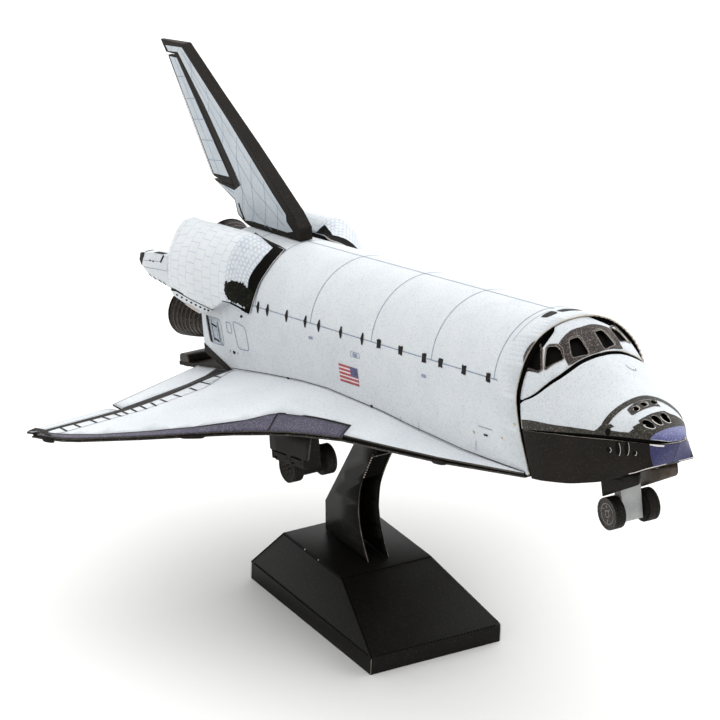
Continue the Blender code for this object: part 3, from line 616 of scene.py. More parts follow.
def makeBodyMarks():
    marks = newShape()
    area = partial(addArea, marks, bodySkin)
    for s in body["hinges"]:       # capsule with a wider middle, lying across the hinge line
        outline = [(-0.14, -0.78), (0.14, -0.78), (0.26, -0.42), (0.46, 0.02), (0.26, 0.4),
                   (0.14, 0.78), (-0.14, 0.78), (-0.26, 0.4), (-0.36, 0.0), (-0.26, -0.42)]
        area(around(bodySkin, s, hingeT, ragged(outline, 0.02, 2)), markLift)
    for s in body["latches"]:
        outline = [(-0.5, -0.56), (0.48, -0.58), (0.5, 0.55), (-0.48, 0.57)]
        area(around(bodySkin, s, hingeT, ragged(outline, 0.07, 5)), markLift, step=(0.6, 0.4))
    for s, z, a, b, turn in ((91.7, 9.4, 0.38, 0.2, -15), (80.3, 2.75, 0.3, 0.2, 0),
                             (58.9, 2.7, 0.3, 0.2, 0), (94.65, 3.95, 0.34, 0.24, 0)):
        area(around(bodySkin, s, z, oval(a, b, turn, 12)), markLift)
    line = partial(addLine, marks, bodySkin)
    line([(93.6, 3.75), (93.6, 4.2)], 0.08, markLift)
    line([(95.7, 3.75), (95.7, 4.2)], 0.08, markLift)
    # umbilical plate: a thick bar at its rear and rungs forward of it
    area([(101.75, 8.05), (101.15, 8.05), (100.4, 4.45), (101.05, 4.45)], markLift)
    for s, z in ((100.3, 7.05), (99.9, 5.1)):
        line([(s, z), (s - 1.4, z - 0.25)], 0.26, markLift)
    line([(100.4, 7.5), (99.85, 4.8)], 0.14, markLift)
    line([(98.7, 7.5), (98.2, 4.8)], 0.14, markLift)
    area([(103.0, 2.62), (103.0, 4.0), (101.9, 3.6), (94.9, 1.2),
          (94.8, 0.4)], markLift)        # black foot of the rear corner
    # lower front: slot, tab squares' shadows and door scribes; the long line along the wing root
    # is painted shadow of the joint
    line([(31.0, 3.8), (31.9, 3.8)], 0.25, markLift)
    line([(23.4, 0.62), (37.0, 0.95), (48.9, 1.8), (56.2, 2.5),
          (70.0, 3.2), (77.0, 3.05), (86.0, 2.45), (95.8, 1.6)],
         0.09, markLift)
    addBothSides(marks)
    # roof windows behind the crown, and the rear half of the side window's frame
    area([(26.95, 21.1), (27.24, 21.94), (27.32, 22.95), (26.5, 23.1),
          (25.86, 22.9), (25.81, 22.03), (25.96, 21.36)], markLift,
         step=(0.8, 0.5))
    area([(26.86, 23.4), (26.95, 24.6), (26.5, 26.3), (25.9, 27.0),
          (25.6, 25.5), (25.75, 23.6)], markLift, step=(0.8, 0.5))
    # painted shade in the gap along each pod's upper edge
    wedge = [(88.0, 19.7), (88.2, 20.4), (90.6, 20.8), (93.4, 21.1), (96.3, 21.5), (99.3, 22.1),
             (99.3, 20.5), (90.0, 18.6)]
    area(wedge, 0.06, step=(1.5, 0.6))
    area([(s, roundEnd - t) for s, t in wedge], 0.06, step=(1.5, 0.6))
    makePiece("body_black_marks", marks, [blackPrint])


def makeBodyPlates():
    trim = newShape()
    path = [(23.42, 14.3), (23.95, 15.1), (24.0, 16.2), (23.8, 17.0), (23.35, 17.4),
            (23.35, 16.6), (23.4, 15.4)]
    addArea(trim, bodySkin, path, 0.04, step=(0.5, 0.5))
    makePiece("body_window_trim", trim, [surroundPrint])
    plate = newShape()
    addArea(plate, bodySkin, [(101.0, 7.9), (98.6, 7.8), (98.2, 6.4), (97.6, 4.4),
                              (100.4, 4.5)], 0.035, step=(1.0, 1.0))
    addBothSides(plate)
    makePiece("body_service_plates", plate, [plateWear])

    small = newShape()
    for s, z, length in ((45.2, 9.0, 1.0), (62.1, 8.93, 1.0), (73.3, 9.4, 1.0)):
        outline = [(-length * 0.55, -0.2), (length * 0.55, -0.2), (length * 0.55, 0.2),
                   (-length * 0.55, 0.2)]
        addArea(small, bodySkin, around(bodySkin, s, z, rounded(outline, 0.3)), markLift)
    addLine(small, bodySkin, [(29.9, 4.7), (33.0, 4.7)], 0.1, markLift)
    addBothSides(small)
    makePiece("body_grey_marks", small, [engravedLine])

    yellow = newShape()
    for s, z in ((34.2, 3.7), (27.7, 4.1), (24.5, 6.4)):
        addArea(yellow, bodySkin, around(bodySkin, s, z, oval(0.28, 0.15, 20, 8)), markLift)
    addBothSides(yellow)
    makePiece("body_yellow_marks", yellow, [yellowPrint])


# plain striped patch on the side: red bars and a blue corner, nothing more
patch = {"aft": 66.4, "fore": 61.65, "top": 7.15, "foot": 4.8, "bars": 5, "blockAft": 63.5,
         "redShare": 0.66, "blockShare": 0.53, "lean": 0.06}


def makePatch():
    red, pale, blue = newShape(), newShape(), newShape()
    tall = patch["top"] - patch["foot"]
    pitch = tall / (patch["bars"] - 1 + patch["redShare"])

    def lean(s, z):                # the patch leans aft with the body's lines
        return (s - (patch["foot"] - z) * patch["lean"], z)
    for k in range(2 * patch["bars"] - 1):
        low = patch["foot"] + pitch * (k // 2 + (patch["redShare"] if k % 2 else 0.0))
        high = patch["foot"] + pitch * (k // 2 + (1.0 if k % 2 else patch["redShare"]))
        outline = [lean(patch["aft"], low), lean(patch["fore"], low), lean(patch["fore"], high),
                   lean(patch["aft"], high)]
        addArea(red if k % 2 == 0 else pale, bodySkin, outline, 0.04, step=(9, 9))
    middle = patch["top"] - tall * patch["blockShare"]
    outline = [lean(patch["blockAft"], middle), lean(patch["fore"], middle),
               lean(patch["fore"], patch["top"]), lean(patch["blockAft"], patch["top"])]
    addArea(blue, bodySkin, outline, 0.055, step=(9, 9))
    for name, shape, material in (("patch_red_bars", red, redPrint),
                                  ("patch_pale_bars", pale, palePrint),
                                  ("patch_blue_block", blue, bluePrint)):
        addBothSides(shape)
        makePiece(name, shape, [material])


makeBodySheet()
makeBodyLines()
makeBodyMarks()
makeBodyPlates()
makePatch()
print("body made")


# Nose cone, cockpit crown and lower nose band
noseWidths = smoothCurve(((2.35, 0.0), (2.8, 1.15), (3.5, 1.75), (4.6, 2.5), (6.5, 3.6),
                          (9.0, 4.85), (12.0, 6.1), (15.5, 7.35), (19.0, 8.35), (22.6, 9.0)))
noseTops = smoothCurve(((2.35, 6.6), (2.84, 7.1), (3.83, 7.55), (4.7, 7.9), (7.0, 9.25),
                        (10.2, 10.6), (14.0, 12.05), (17.5, 14.3), (20.2, 16.9), (22.6, 18.3)))
noseChines = smoothCurve(((2.35, 6.38), (4.0, 6.41), (9.5, 6.58), (16.2, 6.42), (22.6, 6.05)))
noseBellies = smoothCurve(((2.3, 4.3), (2.9, 3.9), (4.5, 3.36), (6.2, 2.67), (9.0, 1.83),
                           (11.2, 0.94), (14.0, 0.39), (16.8, 0.06), (22.6, 0.0)))
noseFullness = smoothCurve(((2.35, 0.81), (8.0, 0.92), (15.0, 1.16), (22.6, 0.905)))
# lower edge of the band, by the chine place it is folded down from
bandFootS = smoothCurve(((2.35, 4.3), (2.8, 4.32), (3.5, 4.4), (4.6, 5.0), (6.5, 6.6), (9.0, 9.0),
                         (22.6, 22.6)))
bandFootX = smoothCurve(((2.35, 0.0), (2.8, 1.5), (3.5, 2.6), (4.6, 3.6), (6.5, 4.2), (9.0, 4.7),
                         (11.83, 5.5), (13.6, 6.1), (16.1, 7.13), (18.8, 8.2), (20.3, 8.7),
                         (22.6, 8.98)))
noseGaps = smoothCurve(((2.35, 0.08), (4.5, 0.26), (10.0, 0.26), (22.6, 0.07)))
nose = {"tip": 2.35, "seamGap": 0.2, "liningDepth": 0.62, "sideLiningDepth": 0.4}
# where the crown's front edge runs, by turn from the starboard chine
seamLine = smoothCurve(((0.0, 26.0), (11.3, 23.8), (18.9, 21.55), (26.4, 20.3), (37.9, 19.22),
                        (45.6, 18.7), (55.5, 18.32), (65.6, 18.12), (75.6, 17.93), (90.0, 17.77)))
hoodRear = smoothCurve(((0.0, 23.05), (18.0, 23.3), (35.0, 22.9), (43.0, 22.3), (56.0, 22.15),
                        (67.0, 22.35), (75.0, 23.5), (90.0, 23.4), (97.0, 22.6), (107.0, 21.75),
                        (120.0, 21.4), (140.0, 21.4), (180.0, 22.2)))
bandRear = smoothCurve(((0.0, 23.0), (0.5, 22.5), (1.0, 21.9)))


def hoodAt(s, turn):
    # turn goes in degrees from the starboard chine over the top to the port chine
    angle = math.radians(turn)
    chine = noseChines(s) + noseGaps(s)
    rise = noseTops(s) - chine
    across = math.copysign(abs(math.cos(angle)) ** noseFullness(s), math.cos(angle))
    up = math.copysign(abs(math.sin(angle)) ** noseFullness(s), math.sin(angle))
    return place(s, noseWidths(s) * across, chine + rise * up)


hoodSkin = {"at": hoodAt, "out": -1}


def seamAt(turn):
    return seamLine(min(turn, 180 - turn))


def toPort(path):
    # the crown's port openings sit a little nearer the top than a true mirror image
    return [(s, hood["mirror"] - turn) for s, turn in path][::-1]


hood = {
    "mirror": 173.5,
    "nextWindow": ((20.7, 40.6), (21.85, 54.9), (20.75, 60.9), (19.4, 56.4)),
    "frontWindow": ((20.5, 70.6), (20.2, 79.0), (18.25, 77.8), (18.85, 63.0)),
    "sideNotch": ((21.35, 35.8), (20.95, 39.0), (22.2, 51.0)),
    "upperPorts": ((8.57, 68.0), (8.7, 84.5), (8.68, 100.1)),
    "lowerPorts": ((5.86, 55.9), (5.86, 79.9), (5.89, 98.6)),
    "upperPort": (0.5, 0.42), "lowerPort": (0.95, 0.48), "margin": 1.5, "corner": 0.2}


def makeCrown():
    gap = nose["seamGap"]
    front = []
    for i in range(73):
        turn = 2.5 * i
        if seamAt(turn) + gap < hoodRear(turn):
            front.append((seamAt(turn) + gap, turn))
    first, last = front[0][1], front[-1][1]
    notches = (list(hood["sideNotch"]), toPort(hood["sideNotch"]))
    margin = hood["margin"]
    rear = []
    for i in range(61):
        turn = last - (last - first) * i / 60
        near = [n for n in notches if n[0][1] - margin < turn < n[-1][1] + margin]
        if near:
            rear += [(s, t) for s, t in near[0][::-1] if rear[-1][1] > t]
        else:
            rear.append((hoodRear(turn), turn))
    holes = []
    for name in ("nextWindow", "frontWindow"):
        holes.append(rounded(hood[name], hood["corner"]))
        holes.append(toPort(holes[-1]))
    crown = newShape()
    addArea(crown, hoodSkin, front + rear, holes=holes, step=(1.0, 3.0))
    makePiece("cockpit_crown_sheet", crown, [shadedHullPrint, bareInside, bareEdgeAndGlint],
              instead=("cockpit_crown",), merge=True, wall=model["sheet"])

    prints, frames = newShape(), newShape()
    # surround of the front windows, then a frame of its own round each side window
    lower = [(19.3, 57.4), (18.66, 56.2)]
    lower += [(seamAt(turn) + gap + 0.05, turn) for turn in (60, 64, 68, 72, 76, 80, 84, 86.7)]
    upper = [(21.17, 86.7), (21.23, 84.0), (21.3, 77.0), (21.2, 71.3), (21.08, 66.0),
             (20.95, 62.3)]
    outline = lower + toPort(lower[:-1])
    outline += sorted(toPort(upper[1:]), key=lambda p: -p[1]) + upper
    addArea(prints, hoodSkin, outline, 0.025, holes=holes[2:], step=(0.6, 2.5))
    ring = [(20.59, 38.9), (21.87, 53.4), (21.76, 57.3), (21.0, 61.8), (20.2, 62.0),
            (19.34, 57.0)]
    side = [(23.0, 33.0), (21.28, 35.7), (20.82, 39.7), (22.0, 51.1), (22.75, 54.0),
            (22.75, 52.4), (22.29, 50.3), (21.12, 39.05), (21.45, 36.85), (22.9, 34.8)]
    ring = rounded(ring, hood["corner"])
    for outline, hole in ((ring, holes[0]), (toPort(ring), holes[1])):
        addArea(prints, hoodSkin, outline, 0.03, holes=[hole], step=(0.6, 2.5))
        addLine(frames, hoodSkin, outline, 0.07, 0.045, closed=True, step=0.4)
    for outline in (side, toPort(side)):
        addArea(prints, hoodSkin, outline, 0.03, step=(0.6, 2.5))
    makePiece("cockpit_surround_print", prints, [surroundPrint])
    wide = rounded([(20.68, 71.2), (20.25, 80.4), (18.12, 78.0), (18.92, 61.8)],
                   hood["corner"])
    for path in (wide, toPort(wide)):
        addLine(frames, hoodSkin, path, 0.07, 0.04, closed=True, step=0.4)
    for path in (side[1:4], toPort(side[1:4])):
        addLine(frames, hoodSkin, path, 0.07, 0.045, step=0.4)
    makePiece("cockpit_window_outlines", frames, [frameLine])


def nosePorts():
    return [around(hoodSkin, s, turn, oval(*hood[size], 0, count))
            for size, count in (("upperPort", 14), ("lowerPort", 18))
            for s, turn in hood[size + "s"]]


def makeCone():
    gap, ports = nose["seamGap"], nosePorts()
    rear = [(min(seamAt(2.5 * i) - gap, hoodRear(2.5 * i)), 2.5 * i) for i in range(73)]
    tip = [(nose["tip"], 180 - 6 * i) for i in range(31)]
    cone = newShape()
    addArea(cone, hoodSkin, rear + tip, holes=ports, step=(0.5, 3.0))
    makePiece("nose_cone_sheet", cone, [shadedHullPrint, bareInside, bareEdgeAndGlint],
              instead=("nose_cone_upper",), merge=True, wall=model["sheet"])


def makeNoseShadeLining():
    # black inner skin close behind the openings and seams: painted shade seen through them
    lining, depth = newShape(), nose["sideLiningDepth"]
    addArea(lining, hoodSkin, [(3.4, 2), (25.5, 2), (25.5, 178), (3.4, 178)],
            lift=-nose["liningDepth"], step=(1.2, 5.0))
    rows = []
    for i in range(41):
        s = 2.9 + 21.6 * i / 40
        rows.append([onSurface(hoodSkin, s, 6.0, -depth)[0],
                     onSurface(bandSkin, s, 0.12, -depth)[0]])
    addGrid(lining, rows)
    addGrid(lining, [[Vector((-p.x, p.y, p.z)) for p in row] for row in rows])
    makePiece("nose_lining", lining, [darkCutAndShade], merge=True)


def makeNosePrints():
    ports = nosePorts()
    darkLines = newShape()
    band = [(10.5, 6.0), (10.45, 18.0), (10.28, 28.0), (10.1, 40.0), (9.9, 57.0), (9.82, 74.0),
            (9.82, 90.0), (9.7, 98.5), (9.25, 111.0), (8.7, 120.0), (8.05, 130.0), (7.5, 140.0),
            (7.1, 150.0), (6.7, 162.0)]
    addLine(darkLines, hoodSkin, band, 0.86, 0.03, step=0.4)
    # upper plate with its three ports left open
    outline = [(9.1, 57.1), (9.25, 66.8), (9.38, 75.2), (9.32, 90.8), (9.11, 100.2),
               (8.65, 103.4), (7.63, 104.0), (7.88, 95.7), (7.86, 78.7), (7.87, 64.4),
               (7.95, 53.6), (8.18, 52.5)]
    area = partial(addArea, darkLines, hoodSkin)
    area(outline, 0.035, holes=ports[:3], step=(0.6, 4.0))
    # stepped dark plate above the cap
    upper = [(7.2, 13.2), (6.8, 24.6), (7.03, 27.1), (6.59, 45.1), (6.93, 48.7), (6.84, 65.2),
             (6.89, 87.5), (6.87, 103.8), (6.37, 113.2), (6.0, 141.0), (5.9, 175.0)]
    lower = [(4.75, 1.0), (4.69, 10.5), (4.4, 37.3), (4.22, 61.9), (4.24, 84.7), (4.25, 104.6),
             (4.5, 135.0), (4.74, 152.0), (4.85, 175.0)]
    outline = [(7.2, 1.0)] + upper + lower[::-1]
    area(outline, 0.03, holes=ports[3:], step=(0.5, 4.0))
    # strip along the chine, ragged where the arc meets it
    strip = [(4.75, 0.05), (22.9, 0.05), (23.0, 4.2), (21.3, 5.4), (18.1, 7.3), (15.1, 9.0),
             (13.0, 8.4), (11.7, 6.6), (11.34, 10.0), (10.9, 17.0), (10.4, 16.0), (9.72, 22.5),
             (9.14, 18.6), (9.58, 13.8), (9.47, 10.3), (8.32, 9.8), (7.2, 12.0), (4.75, 10.0)]
    area(strip, 0.03, step=(0.8, 3.0))
    strip = [(s, 180 - turn) for s, turn in strip[:8]] + [(11.7, 171.0), (4.75, 171.0)]
    area(strip, 0.03, step=(0.8, 3.0))
    makePiece("nose_dark_print", darkLines, [speckledPrint])

    cap = newShape()
    outline = lower + [(nose["tip"], 175 - 5 * i) for i in range(35)]
    addArea(cap, hoodSkin, outline, 0.02, step=(0.3, 4.0))
    makePiece("nose_cap_print", cap, [capPrint])


def makeNoseMarks():
    rims = newShape()
    for s, turn in hood["upperPorts"]:
        ring = around(hoodSkin, s, turn, oval(0.56, 0.48, 0, 20))
        addLine(rims, hoodSkin, ring[3:12], 0.06, 0.045, step=0.3)
    for s, turn in hood["lowerPorts"]:
        ring = around(hoodSkin, s, turn, oval(1.03, 0.56, 0, 24))
        addLine(rims, hoodSkin, ring[10:20], 0.09, 0.045, step=0.3)
    makePiece("nose_port_rims", rims, [palePrintEdgeAndGlint])

    engraved, notches = newShape(), newShape()
    addLine(engraved, hoodSkin, [(16.4, 110.3), (16.0, 112.0), (15.8, 115.5), (15.9, 120.5),
                                 (16.3, 121.5)], 0.12, 0.04, step=0.3)
    makePiece("nose_engraving", engraved, [engravedLine])
    addArea(notches, hoodSkin, around(hoodSkin, 9.85, 6.5, oval(0.36, 0.42, 0, 12)), 0.05)
    makePiece("nose_chine_opening", notches, [darkCutAndShade])


def bandAt(s, share):
    # share 0 is the chine, 1 the lower corner, 2 the centre line underneath, 4 the port chine
    if share > 2:
        there = bandAt(s, 4 - share)
        return Vector((-there.x, there.y, there.z))
    footS, footX = bandFootS(s), bandFootX(s)
    if share >= 1:
        return place(footS, footX * (2 - share), noseBellies(footS))
    chine = noseChines(s) - noseGaps(s)
    return place(s + (footS - s) * share, noseWidths(s) + (footX - noseWidths(s)) * share,
                 chine + (noseBellies(footS) - chine) * share)


bandSkin = {"at": bandAt, "out": 1}


def makeNoseBand():
    band = newShape()
    holes = [around(bandSkin, s, share, oval(a, b, 0, 20)) for s, share, a, b in
             ((9.95, 0.26, 0.38, 0.36), (8.69, 0.23, 0.38, 0.9), (7.51, 0.21, 0.35, 0.9),
              (6.45, 0.35, 0.3, 0.3))]
    outline = [(nose["tip"], 4 - 0.1 * i) for i in range(41)]
    outline += [(bandRear(min(0.1 * i, 4 - 0.1 * i, 1.0)), 0.1 * i) for i in range(41)]
    addArea(band, bandSkin, outline, step=(0.5, 0.1))
    makePiece("nose_band_sheet", band, [blackPrint, bareInside, bareEdgeAndGlint],
              instead=("nose_lower",), merge=True, wall=model["sheet"])

    pits = newShape()
    for hole in holes:
        addArea(pits, bandSkin, hole, 0.02, step=(0.3, 0.1))
    addBothSides(pits)
    makePiece("nose_band_ports", pits, [darkCutAndShade])

    cap = newShape()
    outline = [(nose["tip"] + 0.01, 0.02), (4.85, 0.02), (4.58, 0.26), (4.09, 0.64), (3.55, 0.99),
               (nose["tip"] + 0.01, 0.99)]
    addArea(cap, bandSkin, outline, 0.02, step=(0.2, 0.1))
    addBothSides(cap)
    makePiece("nose_band_cap_print", cap, [indigoPrint])

    # pale rims on part of each port, and painted glints on the band's bent top edge and along its
    # lower bend
    rims = newShape()
    for hole in holes:
        addLine(rims, bandSkin, hole[6:14], 0.055, 0.035, step=0.3)
    addArea(rims, bandSkin, [(4.8, 0.0), (4.0, 0.015), (3.2, 0.05), (3.25, 0.12), (4.0, 0.09),
                             (4.8, 0.04)], 0.05, step=(0.3, 0.1))      # glint on the bent edge
    # painted highlight along the lower bend
    addLine(rims, bandSkin, [(7.2, 0.985), (4.6, 0.985), (3.3, 0.985), (2.6, 0.985)], 0.1, 0.05,
            step=0.3)
    addBothSides(rims)
    makePiece("nose_band_port_rims", rims, [palePrintEdgeAndGlint])


makeCrown()
makeCone()
makeNoseShadeLining()
makeNosePrints()
makeNoseMarks()
makeNoseBand()
print("nose made")


# Wings, leading edges and elevons
upperEdge = ((23.0, 9.35, 0.62), (37.2, 12.5, 0.62), (48.9, 14.2, 0.62), (56.2, 15.1, 0.62),
             (57.9, 12.9, 1.1), (64.8, 14.0, 1.2), (70.7, 16.3, 1.2), (72.4, 20.4, 0.8),
             (76.9, 26.0, 0.2), (81.7, 30.9, -0.25), (86.0, 35.2, -0.5), (88.0, 36.5, -0.58),
             (89.6, 37.6, -0.62), (91.5, 38.5, -0.66), (94.2, 39.5, -0.7))
lowerEdge = ((22.8, 9.3), (37.2, 12.6), (48.9, 14.3), (56.4, 15.3), (63.1, 17.6), (67.4, 19.9),
             (71.4, 22.9), (75.5, 26.9), (80.3, 31.8), (85.0, 36.0), (86.7, 37.5), (88.8, 38.8),
             (91.2, 39.7), (93.3, 40.2))
stripEdge = ((57.9, 13.0, 1.1), (64.8, 14.15, 1.2), (70.6, 16.45, 1.2), (72.3, 20.5, 0.8),
             (76.8, 26.15, 0.2), (81.6, 31.05, -0.25), (85.9, 35.35, -0.5),
             (87.9, 36.7, -0.58), (89.5, 37.75, -0.62), (91.4, 38.65, -0.66),
             (93.1, 39.5, -0.69))
rootLine = ((23.0, 0.62), (37.2, 0.75), (48.9, 1.6), (56.2, 2.35), (57.9, 2.45), (64.8, 2.8),
            (70.7, 3.0), (72.4, 3.0), (76.9, 2.85), (81.7, 2.6), (86.0, 2.25), (88.0, 2.1),
            (89.6, 1.95), (91.5, 1.75), (95.8, 1.4))
wing = {"rootX": 9.15, "tipDroop": -1.4, "spanX": 40.5, "gap": 0.08, "elevonThick": 0.3,
        "fold": 86.0, "elevons": {"inner": (9.37, 27.4), "outer": (27.8, 40.2)},
        "outlineInset": 0.22, "whiteSheet": 0.22, "stripFoot": 0.58}
rootHeight = straightCurve(rootLine)
edgeX = straightCurve(upperEdge)
edgeHeight = straightCurve(upperEdge, 2)
hingeS = straightCurve(((9.1, 96.0), (27.2, 93.3), (40.5, 94.4)))
hingeHeight = straightCurve(((9.15, 1.36), (27.2, 0.06), (39.5, -0.7)))
trailingS = straightCurve(((9.3, 105.1), (27.4, 96.0), (27.8, 97.0), (40.2, 96.4)))
trailingHeight = straightCurve(((9.3, 0.44), (27.4, 0.3), (27.8, -0.45), (40.2, -0.95)))


def ruledHeight(s, x):
    share = (x - wing["rootX"]) / (edgeX(s) - wing["rootX"])
    return rootHeight(s) + (edgeHeight(s) - rootHeight(s)) * share


def wingAt(s, x):
    # the upper skin, which bends down a little towards its bent hinge line
    hinge = hingeS(x)
    near = min(max((s - wing["fold"]) / (hinge - wing["fold"]), 0.0), 1.0)
    near = near * near * (3 - 2 * near)
    return place(s, x, ruledHeight(s, x) + near * (hingeHeight(x) - ruledHeight(hinge, x)))


def elevonAt(s, x):
    front, rear = hingeS(x), trailingS(x)
    share = (s - front) / (rear - front)
    return place(s, x, hingeHeight(x) - 0.03 + (trailingHeight(x) - hingeHeight(x)) * share)


def wingFloor(x):
    return wing["tipDroop"] * max(0.0, x - body["half"]) / (wing["spanX"] - body["half"])


wingSkin = {"at": wingAt, "out": 1}
elevonSkin = {"at": elevonAt, "out": 1}

stripFoot = [(s, x, wingFloor(x) + wing["stripFoot"]) for s, x in lowerEdge[3:]]
footCurves = [smoothCurve([(i, row[k]) for i, row in enumerate(stripFoot)]) for k in range(3)]
topCurves = [smoothCurve([(i, row[k]) for i, row in enumerate(stripEdge)]) for k in range(3)]


def stripAt(along, up):
    low = [curve(along) for curve in footCurves]
    high = [curve(along) for curve in topCurves]
    s, x, z = (a + (b - a) * up for a, b in zip(low, high))
    return place(s, x, z)


stripSkin = {"at": stripAt, "out": -1}


def makeWingSheets():
    gap = wing["gap"]
    hinge = [(hingeS(x) - gap, x) for x in (39.5, 36.0, 32.0, 29.0, 27.2, 24.0, 20.0, 15.0, 9.15)]
    outline = [row[:2] for row in upperEdge[:-1]] + hinge
    outline += [(s, wing["rootX"]) for s in (80.0, 60.0, 40.0, 23.0)]
    skin = newShape()
    addArea(skin, wingSkin, outline[::-1], step=(2.2, 2.5))
    for side, shape in bothSides(skin):
        makePiece("wing_skin_" + side, shape, [whitePrint, bareInside, darkEdge],
                  instead=("wing_upper_" + side,), merge=True,
                  wall=model["sheet"])

    strip = newShape()
    last = len(stripEdge) - 1
    rows = [[onSurface(stripSkin, last * i / 60, k / 4)[0] for k in range(5)] for i in range(61)]
    uvRows = [[(last * i / 60, k / 4) for k in range(5)] for i in range(61)]
    addGrid(strip, rows, out=1, uvRows=uvRows)
    for side, shape in bothSides(strip):
        makePiece("leading_edge_sheet_" + side, shape, [edgePrint, bareInside, darkEdge],
                  instead=("leading_edge_" + side,), merge=True,
                  wall=model["sheet"])


def makeWingPrints():
    gap = wing["gap"]
    dark = newShape()
    line = partial(addLine, dark, stripSkin)
    line([(0.0, 0.985), (1.0, 0.985), (2.0, 0.985)], 0.34, 0.03, step=0.5)
    line([(2.0 + 0.5 * k, 0.975) for k in range(17)], 0.12, 0.03, step=0.5)
    line([(2.0, 0.0), (2.0, 1.0)], 0.24, 0.04)
    line([(0.04, 0.0), (0.04, 1.0)], 0.1, 0.04)
    # ladder along the hinge: a black slot, a thin forward line and rungs between them
    slot = [(93.0, 39.45), (92.93, 37.0), (92.6, 35.0), (92.25, 32.6), (91.9, 29.5),
            (91.83, 28.4), (91.87, 27.0), (91.97, 25.1), (92.3, 22.3), (92.7, 19.9),
            (93.6, 16.8), (94.3, 14.8), (95.0, 12.4), (95.6, 9.15)]
    back = [(hingeS(x) - gap - 0.01, x) for x in (9.15, 15.0, 20.0, 24.0, 27.2, 30.0, 34.0, 37.0,
                                                  39.2)]
    # outboard, some white sheet is left between the slot and the hinge
    back = [(s - (wing["whiteSheet"] if x > 28 else 0), x) for s, x in back]
    addArea(dark, wingSkin, slot + back, 0.03, step=(2.0, 2.0))
    rungs = (((93.0, 39.2), (91.0, 39.3)), ((93.0, 36.9), (90.7, 37.1)),
             ((92.7, 35.0), (90.7, 35.1)), ((92.3, 32.7), (90.3, 32.8)),
             ((92.2, 31.0), (89.9, 31.0)), ((92.0, 29.3), (89.7, 29.4)),
             ((92.1, 28.1), (89.7, 28.4)), ((91.8, 26.8), (89.5, 27.2)),
             ((91.8, 25.4), (89.3, 25.8)), ((91.9, 23.8), (89.2, 24.4)),
             ((92.0, 22.3), (89.5, 22.6)), ((92.3, 20.1), (89.7, 20.3)),
             ((93.0, 17.2), (90.2, 17.6)), ((94.3, 14.8), (91.5, 14.9)),
             ((95.4, 12.2), (93.4, 12.2)))
    for top, foot in rungs:
        addLine(dark, wingSkin, [top, foot], 0.33, 0.03, step=1.0)
    addBothSides(dark)
    makePiece("wing_dark_print", dark, [blackPrint])

    fine = newShape()
    addLine(fine, wingSkin, [(90.9, 39.2), (90.68, 37.6), (90.3, 33.0), (89.95, 29.6),
                             (89.4, 26.6), (89.6, 24.5), (89.8, 22.1), (90.45, 16.4),
                             (91.4, 14.7), (93.5, 11.9), (95.2, 9.2)], 0.13, 0.035)
    addLine(fine, wingSkin, [(93.55, 14.4), (93.0, 12.8), (92.2, 14.6)], 0.1, 0.035)
    # thin outlines just inside the elevons' edges
    inset = wing["outlineInset"]
    for inX, outX in wing["elevons"].values():
        corners = [(hingeS(inX) + gap + inset, inX + inset),
                   (trailingS(inX) - inset, inX + inset),
                   (trailingS(outX) - inset, outX - inset),
                   (hingeS(outX) + gap + inset, outX - inset)]
        addLine(fine, elevonSkin, corners, 0.09, 0.03, closed=True)
    addBothSides(fine)
    makePiece("wing_engraving", fine, [darkLine])

    hingeBand = newShape()
    addArea(hingeBand, elevonSkin, [(hingeS(9.4) + 0.09, 9.4), (hingeS(9.4) + 3.6, 9.4),
                                    (hingeS(12.5) + 1.7, 12.5), (hingeS(16.0) + 0.8, 16.0),
                                    (hingeS(20.0) + 0.55, 20.0), (hingeS(27.3) + 0.25, 27.3),
                                    (hingeS(27.3) + 0.09, 27.3), (hingeS(20.0) + 0.09, 20.0)],
            0.02, step=(2.0, 2.0))
    addBothSides(hingeBand)
    makePiece("elevon_hinge_print", hingeBand, [blackPrint])


def makeElevonSheets():
    gap = wing["gap"]
    for name, (inX, outX) in wing["elevons"].items():
        outline = [(hingeS(inX) + gap, inX), (trailingS(inX), inX), (trailingS(outX), outX),
                   (hingeS(outX) + gap, outX)]
        sheet = newShape()
        addArea(sheet, elevonSkin, outline, step=(3.0, 3.0))
        for side, shape in bothSides(sheet):
            makePiece("elevon_" + name + "_sheet_" + side, shape,
                      [whitePrint, blackPrint, speckledPrint],
                      instead=("elevon_" + name + "_" + side,), merge=True,
                      wall=wing["elevonThick"])


